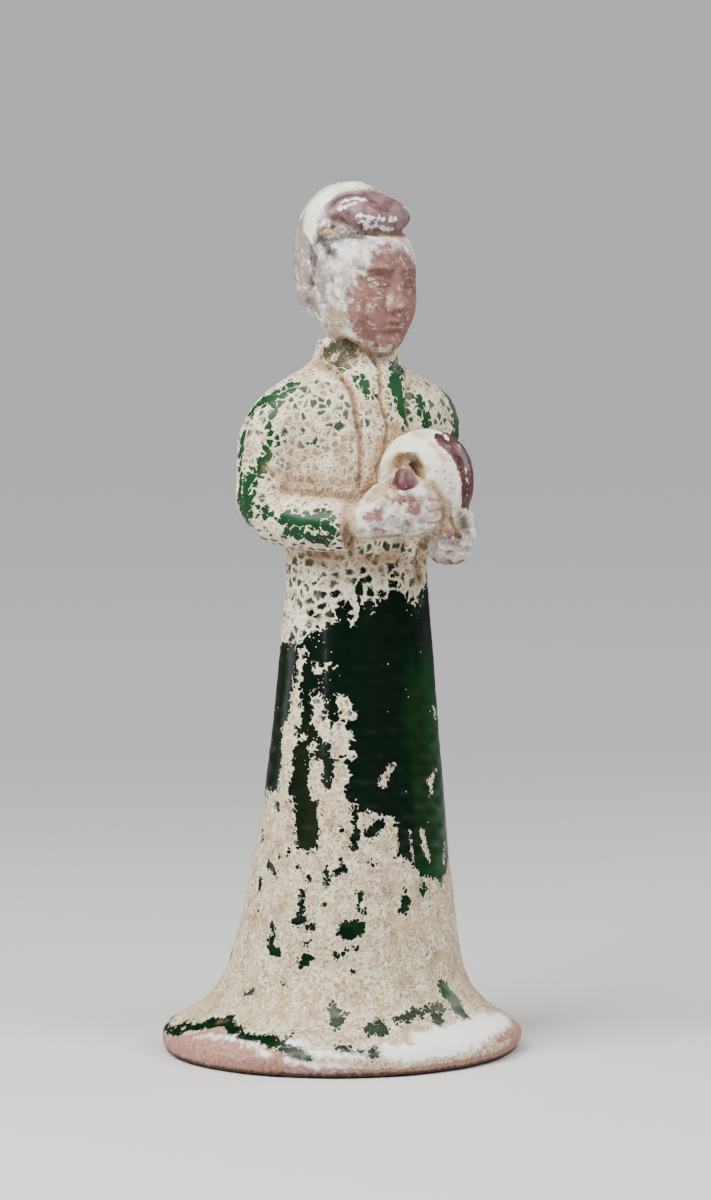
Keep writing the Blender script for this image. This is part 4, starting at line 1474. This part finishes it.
# A node tree being wired. Each method adds one node or a few and gives the output, and takes sockets,
# which it links, or values, which it sets.
class Wires:
    def __init__(self, tree):
        self.tree = tree

    def node(self, kind, inputs, output=0, **settings):
        made = self.tree.nodes.new("ShaderNode" + kind)
        for name, value in settings.items():
            setattr(made, name, value)
        for name, value in inputs.items():
            if isinstance(value, bpy.types.NodeSocket):
                self.tree.links.new(value, made.inputs[name])
            else:
                made.inputs[name].default_value = value
        return made.outputs[output]

    def math(self, operation, a, b=0.0, c=0.0):
        return self.node("Math", {0: a, 1: b, 2: c}, operation=operation)

    def times(self, a, b):
        return self.math("MULTIPLY", a, b)

    def timesPlus(self, a, b, c):
        return self.math("MULTIPLY_ADD", a, b, c)

    def minus(self, a, b):
        return self.math("SUBTRACT", a, b)

    def most(self, a, b):
        return self.math("MAXIMUM", a, b)

    # a value moved up and down by a noise, which is a half in its middle
    def shaken(self, value, grain, amount):
        return self.timesPlus(self.minus(grain, 0.5), amount, value)

    # a smooth step of a value from `low` to `high`, brought to run from `first` to `last`
    def step(self, value, low, high, first=0.0, last=1.0):
        ends = {"Value": value, "From Min": low, "From Max": high, "To Min": first, "To Max": last}
        return self.node("MapRange", ends, interpolation_type="SMOOTHSTEP")

    def over(self, share, below, above):
        return self.node("Mix", {0: share, 6: below, 7: above}, 2, data_type="RGBA", blend_type="MIX")

    def mixed(self, share, a, b):
        return self.node("Mix", {0: share, 2: a, 3: b}, 0, data_type="FLOAT")

    def scale(self, size):
        return self.math("DIVIDE", 1.0, size) if isinstance(size, bpy.types.NodeSocket) else 1 / size

    def noise(self, at, size, detail=2.0, roughness=0.55, output=0):
        inputs = {"Vector": at, "Scale": self.scale(size), "Detail": detail, "Roughness": roughness}
        return self.node("TexNoise", inputs, output)

    def cells(self, at, size, feature, output):
        return self.node("TexVoronoi", {"Vector": at, "Scale": self.scale(size)}, output, feature=feature)

    def moved(self, at, shift=(0, 0, 0), scale=(1, 1, 1)):
        return self.node("Mapping", {"Vector": at, "Location": shift, "Scale": scale})

    # places shaken by the noise's colour, each way by up to `amount`
    def jolted(self, at, noiseAt, size, detail, amount):
        shake = self.noise(noiseAt, size, detail, 0.5, 1)
        return self.node("VectorMath", {0: shake, 1: (amount,) * 3, 2: at}, operation="MULTIPLY_ADD")

    def group(self, group, inputs):
        return self.node("Group", inputs, node_tree=group).node.outputs


# A node group with named sockets: gives its wires, what it takes in, and a way to set what it puts out.
def nodeGroup(name, takes, gives):
    tree = bpy.data.node_groups.new(name, "ShaderNodeTree")
    for label, value in takes.items():
        kind = "Vector" if value is None else "Float"
        socket = tree.interface.new_socket(label, in_out="INPUT", socket_type="NodeSocket" + kind)
        if value is not None:
            socket.default_value = value
    for label in gives:
        tree.interface.new_socket(label, in_out="OUTPUT", socket_type="NodeSocketFloat")
    taken, given = tree.nodes.new("NodeGroupInput").outputs, tree.nodes.new("NodeGroupOutput").inputs

    def give(label, socket):
        tree.links.new(socket, given[label])
    return tree, Wires(tree), taken, give


# Glaze that has decayed to a pale crust along its crazing. The crust is there where its field, raised
# along the craze lines and shifted at random for each cell, is over a half, so that a thick field covers
# all and a thin one leaves a net of lines with dark cells.
def crazedCrustGroup():
    tree, w, taken, give = nodeGroup(
        "crazedCrust", {"Place": None, "Craze Place": None, "Field": 0.5, "Net": 1.0},
        ["Cover", "Lines", "Haze", "Height", "Tan Cell", "Grey Cell"])
    place = taken["Place"]
    crazed = w.jolted(taken["Craze Place"], place, 1.9, 2.0, 0.3)
    edge = w.cells(crazed, 1, "DISTANCE_TO_EDGE", 0)
    ofCell = w.cells(crazed, 1, "F1", 1)
    chance, other = [w.node("SeparateColor", {0: ofCell}, k) for k in (0, 1)]
    edgeTwo = w.cells(w.moved(crazed, (31, 17, 5), (1.5, 1.5, 1.3)), 1, "DISTANCE_TO_EDGE", 0)
    fine = w.noise(place, 0.85, 3.0, 0.6)
    coarse = w.noise(w.moved(place, (7, 3, 9)), 4.2, 4.0, 0.6)
    middle = w.step(edge, 0.0, 0.32)
    main = w.step(edge, 0.03, 0.13, 1, 0)
    patches = w.step(w.noise(w.moved(place, (1, 8, 3)), 5.0), 0.42, 0.56)
    second = w.times(w.step(edgeTwo, 0.03, 0.12, 0.8, 0), patches)
    lines = w.most(main, second)
    net = w.timesPlus(w.minus(chance, 0.5), 0.42, w.timesPlus(middle, -0.5, 0.21))
    net = w.shaken(w.timesPlus(second, 0.22, net), fine, 0.5)
    total = w.shaken(w.timesPlus(net, taken["Net"], taken["Field"]), coarse, 1.1)
    cover = w.step(total, 0.47, 0.53)
    filled = w.times(middle, taken["Net"])
    bumps = w.timesPlus(lines, 0.16, w.timesPlus(fine, 0.34, 0.16))
    give("Cover", cover)
    give("Lines", lines)
    give("Haze", w.times(w.step(taken["Field"], 0.5, 0.7), w.step(total, 0.15, 0.5, 0.15, 0.7)))
    give("Tan Cell", w.times(filled, w.step(other, 0.25, 0.75)))
    give("Grey Cell", w.times(filled, w.step(chance, 0.62, 0.30)))
    give("Height", w.times(cover, bumps))
    return tree


# A mask with a broken edge: where its field, shifted by a noise of the given size, is over a half.
def brokenEdgeGroup():
    takes = {"Place": None, "Field": 0.5, "Size": 2.0, "Break": 0.5, "Softness": 0.04}
    tree, w, taken, give = nodeGroup("brokenEdge", takes, ["Mask"])
    bites = w.minus(w.noise(taken["Place"], taken["Size"], 4.0, 0.62), 0.5)
    specks = w.minus(w.noise(taken["Place"], 0.55, 2.0, 0.6), 0.5)
    total = w.timesPlus(w.timesPlus(specks, 0.4, bites), taken["Break"], taken["Field"])
    low, high = w.minus(0.5, taken["Softness"]), w.math("ADD", 0.5, taken["Softness"])
    give("Mask", w.step(total, low, high))
    return tree


# Fine lines where a slip or glaze has split: near the edges of cells, and broken off by a noise.
def hairCracksGroup():
    takes = {"Place": None, "Cell": 8.0, "Width": 0.03, "Share": 0.5}
    tree, w, taken, give = nodeGroup("hairCracks", takes, ["Mask"])
    place = taken["Place"]
    edge = w.cells(w.jolted(place, place, 3.1, 3.0, 5.0), taken["Cell"], "DISTANCE_TO_EDGE", 0)
    width = w.times(taken["Width"], w.noise(place, 2.3))
    line = w.step(edge, 0.0, w.times(width, 2.0), 1, 0)
    there = w.step(w.math("ADD", w.noise(w.moved(place, (3, 8, 1)), 6.0), taken["Share"]), 0.9, 1.1)
    give("Mask", w.times(line, there))
    return tree


# Round dots, one in some of the cells of a grid of points: within `Radius` of the cell's own point.
def dotsGroup():
    takes = {"Place": None, "Spacing": 2.0, "Radius": 0.2, "Share": 0.3}
    tree, w, taken, give = nodeGroup("dots", takes, ["Mask"])
    far = w.times(w.cells(taken["Place"], taken["Spacing"], "F1", 0), taken["Spacing"])
    chance = w.node("SeparateColor", {0: w.cells(taken["Place"], taken["Spacing"], "F1", 1)})
    there = w.math("LESS_THAN", chance, taken["Share"])
    give("Mask", w.times(w.step(far, w.times(taken["Radius"], 0.6), taken["Radius"], 1, 0), there))
    return tree


glazes = {
    "greenDeep": shade(0.0, 0.062, 0.020),
    "greenBright": shade(0.0, 0.225, 0.085),
    "greenOlive": shade(0.08, 0.11, 0.025),
    "crustBeige": shade(0.74, 0.64, 0.49),
    "crustTan": shade(0.57, 0.45, 0.32),
    "crustWhite": shade(0.94, 0.91, 0.82),
    "haze": shade(0.40, 0.43, 0.36),
    "bareClay": shade(0.69, 0.53, 0.47),
    "bareClayDark": shade(0.55, 0.39, 0.34),
    "skinClay": shade(0.54, 0.39, 0.36),
    "skinClayDark": shade(0.43, 0.30, 0.28),
    "slipWhite": shade(0.93, 0.92, 0.90),
    "slipWarm": shade(0.91, 0.89, 0.86),
    "slipGrey": shade(0.62, 0.60, 0.57),
    "hairMauve": shade(0.52, 0.41, 0.41),
    "hairMauveDark": shade(0.31, 0.20, 0.21),
    "cream": shade(0.90, 0.88, 0.80),
    "creamStraw": shade(0.80, 0.72, 0.55),
    "creamGreen": shade(0.66, 0.64, 0.46),
    "creamPink": shade(0.78, 0.60, 0.56),
    "aubergine": shade(0.35, 0.20, 0.21),
    "aubergineDark": shade(0.22, 0.09, 0.10),
    "soil": shade(0.50, 0.36, 0.25),
    "soilDark": shade(0.26, 0.15, 0.10),
    "tanDust": shade(0.70, 0.55, 0.40),
    "ink": shade(0.08, 0.10, 0.07),
}
roughness = {
    "greenThick": 0.28, "greenThin": 0.55, "haze": 0.6, "crust": 0.78, "clay": 0.8, "hair": 0.42,
    "slip": 0.55, "cream": 0.22, "aubergine": 0.4, "flakes": 0.6, "soil": 0.85,
}
brokenEdges = {
    # size of the bites in millimetres, how deep they go, softness
    "bareClay": [2.4, 0.5, 0.04],
    "hairTint": [3.0, 0.6, 0.12],
    "slip": [3.6, 1.25, 0.17],
    "cream": [2.5, 0.25, 0.1],
    "straw": [1.8, 0.5, 0.2],
    "pink": [1.8, 0.6, 0.3],
    "purple": [2.4, 0.9, 0.05],
    "flakes": [1.6, 1.5, 0.07],
    "cavity": [3.0, 0.5, 0.25],
    "soil": [3.2, 0.8, 0.28],
    "recess": [1.5, 1.3, 0.42],
}


# The pottery's surface, built up as the figure was: each step takes the colour, roughness, height and
# gloss that lie under it and puts its own over them.
class Pottery(Wires):
    def __init__(self, tree):
        super().__init__(tree)
        own = self.node("TexCoord", {}, "Object")
        self.at = self.node("VectorMath", {0: own, "Scale": 1 / mm}, operation="SCALE")
        self.f = {name: self.node("Attribute", {}, "Fac", attribute_name=name) for name in fields}
        self.broken, self.dotted = brokenEdgeGroup(), dotsGroup()
        self.fine = self.noise(self.at, 0.7, 3.0, 0.6)

    # where a field is over a half, with its own broken edge
    def mask(self, name, value=None):
        size, depth, softness = brokenEdges[name]
        inputs = {"Place": self.at, "Field": self.f[name] if value is None else value, "Size": size,
                  "Break": depth, "Softness": softness}
        return self.group(self.broken, inputs)["Mask"]

    def dots(self, spacing, radius, share, shift=None):
        at = self.at if shift is None else self.moved(self.at, shift)
        inputs = {"Place": at, "Spacing": spacing, "Radius": radius, "Share": share}
        return self.group(self.dotted, inputs)["Mask"]

    # a step of a noise: its size, detail and roughness, and from where to where it steps
    def mottle(self, grain, low, high, first=0.0, last=1.0, shift=None):
        at = self.at if shift is None else self.moved(self.at, shift)
        return self.step(self.noise(at, *grain), low, high, first, last)

    # colours laid over one another, each by its share
    def layers(self, colour, *steps):
        for share, above in steps:
            colour = self.over(share, colour, above)
        return colour

    # the green glaze: thick and nearly black, brighter where it ran thin, brown in some runs
    def greenGlaze(self):
        g, f = glazes, self.f
        runs = self.noise(self.moved(self.at, scale=(1, 1, 0.09)), 7.0, 3.0)
        self.cloud = self.noise(self.moved(self.at, (5, 5, 5)), 13.0, 3.0)
        thin = self.shaken(self.shaken(f["bright"], runs, 0.9), self.cloud, 0.5)
        colour = self.over(self.step(thin, 0.0, 1.1), g["greenDeep"], g["greenBright"])
        olive = self.times(f["olive"], self.step(runs, 0.3, 0.6))
        self.colour = self.over(self.times(olive, 0.7), colour, g["greenOlive"])

    # white threads in the crust, where a stretched noise passes through its middle value
    def threads(self):
        threads = 0.0
        for turn, size in (((0.5, 0.75, 0.3), 1.9), ((-0.4, -0.8, 0.9), 2.3), ((1.2, 0.1, -0.5), 1.6)):
            along = self.node("Mapping", {"Vector": self.at, "Rotation": turn, "Scale": (1, 1, 0.35)})
            middle = self.math("ABSOLUTE", self.minus(self.noise(along, size, 1.0), 0.5))
            threads = self.most(threads, self.step(middle, 0.02, 0.06, 1, 0))
        return self.times(threads, self.mottle([1.9], 0.42, 0.54, shift=(3, 3, 1)))

    # the crust's own colour: beige and tan, grey in some cells, white along lines, threads and edges
    def crustColour(self, crust, strokes):
        g, f = glazes, self.f
        beige = self.layers(
            g["crustBeige"],
            (self.mottle([9.0, 4.0, 0.65], 0.36, 0.68, shift=(2, 4, 6)), g["crustTan"]),
            (self.mottle([1.1, 3.0, 0.6], 0.44, 0.64, 0, 0.48), g["crustTan"]),
            (self.times(crust["Tan Cell"], 0.8), g["crustTan"]),
            (self.times(crust["Grey Cell"], 0.75), g["haze"]),
        )
        lines = self.times(crust["Lines"], self.timesPlus(f["net"], 0.8, 0.2))
        whitened = self.most(lines, self.times(strokes, 0.9))
        whitened = self.times(whitened, self.mottle([7.0, 3.0], 0.3, 0.6, 0.35, 1.0, shift=(9, 1, 2)))
        nearGreen = self.step(f["crust"], 0.5, 0.68, 1, 0)
        nearGreen = self.times(nearGreen, self.step(self.fine, 0.35, 0.6, 0.2, 0.75))
        rim = self.times(self.step(crust["Cover"], 0.0, 0.5), self.step(crust["Cover"], 0.5, 1.0, 1, 0))
        whitened = self.most(whitened, nearGreen)
        return self.layers(beige, (whitened, g["crustWhite"]), (rim, g["crustWhite"]))

    # the crust over the green, with a haze beside it, specks of it on the green and chips out of it
    def crust(self):
        f = self.f
        crazePlace = self.node("Attribute", {}, "Vector", attribute_name="crazePlace")
        inputs = {"Place": self.at, "Craze Place": crazePlace, "Field": f["crust"], "Net": f["net"]}
        crust = self.group(crazedCrustGroup(), inputs)
        nearEdge = self.times(self.step(f["crust"], 0.22, 0.46), 0.3)
        specks = self.dots(1.2, 0.32, self.most(nearEdge, self.mixed(f["specks"], 0.012, 0.5)))
        strokes = self.threads()
        veil = self.times(f["veiled"], self.step(self.fine, 0.3, 0.65, 0.15, 0.6))
        haze = self.most(crust["Haze"], veil)
        chips = self.dots(2.1, 0.4, self.times(self.minus(1.0, f["net"]), 0.22), shift=(4, 4, 4))
        cover = self.most(self.times(crust["Cover"], self.minus(1.0, self.times(chips, 0.8))), specks)
        beige = self.crustColour(crust, strokes)
        self.colour = self.layers(self.colour, (haze, glazes["haze"]), (cover, beige))
        bright = self.step(f["bright"], 0.7, 0.95)
        green = self.mixed(bright, roughness["greenThick"], roughness["greenThin"])
        self.rough = self.mixed(cover, self.mixed(haze, green, roughness["haze"]), roughness["crust"])
        self.gloss = self.minus(1.0, self.most(cover, haze))
        relief = self.timesPlus(self.times(strokes, cover), 0.14, crust["Height"])
        self.height = self.most(relief, self.times(specks, 0.12))

    # bare clay at the hem and on the head and hands, mauve on the hair, then the white slip over them
    def clayAndSlip(self):
        g, f = glazes, self.f
        bare = self.mask("bareClay")
        grain = self.noise(self.at, 1.6, 5.0, 0.7)
        clay = self.over(self.step(grain, 0.36, 0.66), g["bareClay"], g["bareClayDark"])
        skin = self.over(self.mottle([4.0, 5.0, 0.7], 0.34, 0.68), g["skinClay"], g["skinClayDark"])
        isSkin = self.step(f["skin"], 0.44, 0.56)
        self.hairMask = self.mask("hairTint")
        mauve = self.over(self.mottle([5.0, 4.0, 0.65], 0.32, 0.7), g["hairMauve"], g["hairMauveDark"])
        mauve = self.over(self.step(f["hairTint"], 0.95, 0.65, 0, 0.5), mauve, g["slipGrey"])
        self.colour = self.layers(self.colour, (bare, clay), (isSkin, skin), (self.hairMask, mauve))
        matt = self.most(bare, isSkin)
        inputs = {"Place": self.at, "Cell": 10.0, "Width": 0.04, "Share": 0.42}
        cracks = self.group(hairCracksGroup(), inputs)["Mask"]
        cracks = self.times(cracks, self.minus(1.0, self.hairMask))
        cracks = self.times(cracks, self.most(self.times(isSkin, 0.85), self.times(bare, 0.3)))
        self.slip = self.most(self.mask("slip"), cracks)
        white = self.over(self.mottle([4.0, 5.0, 0.7], 0.42, 0.66, shift=(4, 2, 8)),
                          self.over(isSkin, g["slipWhite"], g["slipWarm"]),
                          self.over(isSkin, g["slipWhite"], g["slipGrey"]))
        stain = self.times(self.mottle([6.0, 5.0, 0.7], 0.46, 0.66, 0.04, 0.62, shift=(8, 8, 1)), isSkin)
        self.colour = self.over(self.slip, self.colour, self.over(stain, white, g["skinClay"]))
        under = self.mixed(self.hairMask, roughness["clay"], roughness["hair"])
        self.rough = self.mixed(self.slip, self.mixed(matt, self.rough, under), roughness["slip"])
        matt = self.most(matt, self.slip)
        self.gloss = self.times(self.gloss, self.minus(1.0, matt))
        own = self.timesPlus(grain, 0.10, self.times(self.slip, 0.16))
        self.height = self.mixed(matt, self.height, own)

    # cream and aubergine glaze on the hat, the hair's roll and the knob, and white flakes on them
    def hatGlazes(self):
        g, f = glazes, self.f
        self.cream, purple = self.mask("cream"), self.mask("purple")
        cream = self.layers(
            g["cream"],
            (f["hollow"], g["creamGreen"]),
            (self.mottle([5.5, 3.0], 0.48, 0.74, 0, 0.35, shift=(1, 6, 3)), g["creamStraw"]),
            (self.mottle([2.4, 5.0, 0.7], 0.48, 0.72, 0, 0.34), g["slipGrey"]),
            (self.mask("straw"), g["creamStraw"]),
            (self.mask("pink"), g["creamPink"]),
        )
        aubergine = self.layers(
            g["aubergine"],
            (self.mottle([4.5, 3.0], 0.35, 0.7), g["aubergineDark"]),
            (self.times(f["pink"], 0.85), g["hairMauve"]),
        )
        flake = self.most(self.mask("flakes"), self.times(self.dots(1.0, 0.2, 0.22), purple))
        self.colour = self.layers(self.colour, (self.cream, cream), (purple, aubergine),
                                  (flake, g["slipWhite"]))
        glazed = self.most(self.cream, purple)
        glaze = self.mixed(purple, roughness["cream"], roughness["aubergine"])
        self.rough = self.mixed(flake, self.mixed(glazed, self.rough, glaze), roughness["flakes"])
        self.height = self.mixed(glazed, self.height, self.timesPlus(self.cloud, 0.35, 0.1))
        self.height = self.timesPlus(flake, 0.12, self.height)
        self.gloss = self.most(self.gloss, glazed)

    # pinholes, painted brows and pupils, then the soil of the burial in what is hollow
    def burialMarks(self):
        g, f = glazes, self.f
        holes = self.times(self.dots(3.4, 0.26, 0.14), self.most(self.cream, self.slip))
        holes = self.most(holes, self.step(f["pinholes"], 0.5, 0.8))
        inkLeft = self.times(f["ink"], self.mottle([1.1, 3.0], 0.3, 0.6, 0.25, 0.85))
        dusty = self.mask("cavity", self.timesPlus(f["cavity"], 0.9, -0.28))
        dust = self.over(f["hairTint"], g["tanDust"], g["soilDark"])
        earth = self.mask("soil")
        inCreases = self.step(f["cavity"], 0.68, 0.98, 0, 0.6)
        deepened = self.most(inCreases, self.step(f["soil"], 1.0, 1.4, 0, 0.8))
        brown = self.layers(
            g["tanDust"],
            (self.mottle([2.0, 5.0, 0.7], 0.4, 0.7), g["soil"]),
            (deepened, g["soilDark"]),
        )
        self.colour = self.layers(
            self.colour,
            (self.times(holes, 0.75), g["soilDark"]),
            (inkLeft, g["ink"]),
            (self.times(dusty, 0.42), dust),
            (self.times(earth, self.step(self.fine, 0.3, 0.7, 0.55, 0.95)), brown),
            (self.times(self.mask("recess"), self.step(self.fine, 0.3, 0.6, 0.62, 0.95)), g["ink"]),
        )
        soiled = self.most(self.times(dusty, 0.4), earth)
        self.rough = self.mixed(soiled, self.rough, roughness["soil"])
        self.gloss = self.times(self.gloss, self.minus(1.0, soiled))
        self.height = self.timesPlus(holes, -0.2, self.height)
        self.height = self.timesPlus(self.times(earth, self.fine), 0.12, self.height)


def glazedPottery():
    material = bpy.data.materials.new("glazedPottery")
    material.use_nodes = True
    shader = material.node_tree.nodes["Principled BSDF"]
    made = Pottery(material.node_tree)
    made.greenGlaze()
    made.crust()
    made.clayAndSlip()
    made.hatGlazes()
    made.burialMarks()
    ends = {
        "Base Color": made.colour,
        "Roughness": made.rough,
        "Coat Weight": made.times(made.gloss, 0.08),
        "Normal": made.node("Bump", {"Strength": 1.0, "Distance": 0.001, "Height": made.height}),
    }
    for name, socket in ends.items():
        material.node_tree.links.new(socket, shader.inputs[name])
    shader.inputs["Coat Roughness"].default_value = 0.12
    shader.inputs["Specular IOR Level"].default_value = 0.2
    return material


figure.data.materials.append(glazedPottery())
print("material made")


# A pale paper floor, which glows a little to the camera further off, so that it has no horizon.
def paleFloor(size):
    corners = np.array([[-1, -1, 0], [1, -1, 0], [1, 1, 0], [-1, 1, 0]]) * size
    floor = meshObject("floor", corners, np.array([[0, 1, 2, 3]]))
    paper = bpy.data.materials.new("palePaper")
    paper.use_nodes = True
    w = Wires(paper.node_tree)
    inputs = paper.node_tree.nodes["Principled BSDF"].inputs
    inputs["Base Color"].default_value = (0.62, 0.61, 0.6, 1)
    inputs["Roughness"].default_value = 0.9
    inputs["Specular IOR Level"].default_value = 0
    inputs["Emission Strength"].default_value = 1
    away = w.node("VectorMath", {0: w.node("TexCoord", {}, "Object")}, 1, operation="LENGTH")
    glow = w.times(w.step(away, 0.15, 2.2), w.node("LightPath", {}, "Is Camera Ray"))
    w.tree.links.new(w.over(glow, (0, 0, 0, 1), (0.5, 0.5, 0.5, 1)), inputs["Emission Color"])
    floor.data.materials.append(paper)
    return floor


floor = paleFloor(30.0)

view = {
    "azimuth": -33,  # degrees, from the front towards +X
    "elevation": 3.7,
    "distance": 1.6,
    "aim": [0, 0, 0.1873],
    "aside": 0.00566,  # the camera and its aim, both moved to its right
    "lens": 115.66,
}
turn, lift = math.radians(view["azimuth"]), math.radians(view["elevation"])
back = np.array([math.sin(turn) * math.cos(lift), -math.cos(turn) * math.cos(lift), math.sin(lift)])
right = np.array([math.cos(turn), math.sin(turn), 0])
camera = bpy.data.objects.new("camera", bpy.data.cameras.new("camera"))
bpy.context.scene.collection.objects.link(camera)
camera.location = np.array(view["aim"]) + right * view["aside"] + back * view["distance"]
camera.rotation_euler = (math.pi / 2 - lift, 0, turn)
camera.data.lens = view["lens"]
camera.data.sensor_width = 36
bpy.context.scene.camera = camera


# The studio: each soft box by its turn from the camera's side (towards the right of the picture), the
# height it is raised above the floor in degrees, its distance, its width and height, and its power.
softBoxes = {
    "key": [-46, 44, 1.35, 0.8, 0.7, 35],
    "fill": [52, 36, 1.5, 0.8, 0.8, 15],
    "front": [4, 66, 1.3, 0.7, 0.5, 11],
    "leftEdge": [-102, 10, 1.1, 0.32, 0.7, 2.0],
    "rightEdge": [122, 24, 1.2, 0.3, 0.7, 5],
    "leftStrip": [-20, 8, 1.5, 0.09, 0.5, 1.4],
}
boxAim = 0.2  # the height of the place that all boxes face
for name, (fromCamera, raised, distance, wide, tall, power) in softBoxes.items():
    lamp = bpy.data.lights.new(name, "AREA")
    lamp.shape = "RECTANGLE"
    lamp.size, lamp.size_y, lamp.energy = wide, tall, power
    angle, up = turn + math.radians(fromCamera), math.radians(raised)
    box = bpy.data.objects.new(name, lamp)
    bpy.context.scene.collection.objects.link(box)
    box.location = (distance * math.sin(angle) * math.cos(up), -distance * math.cos(angle) * math.cos(up),
                    boxAim + distance * math.sin(up))
    box.rotation_euler = (math.pi / 2 - up, 0, angle)

# The air round the studio is a dim grey in reflections, and looks like the far floor to the camera.
world = bpy.data.worlds.new("studio")
world.use_nodes = True
sky = Wires(world.node_tree)
air = sky.over(sky.node("LightPath", {}, "Is Camera Ray"), (0.06, 0.06, 0.063, 1), (0.53, 0.53, 0.53, 1))
sky.tree.links.new(air, sky.tree.nodes["Background"].inputs["Color"])
bpy.context.scene.world = world

print("scene ready")
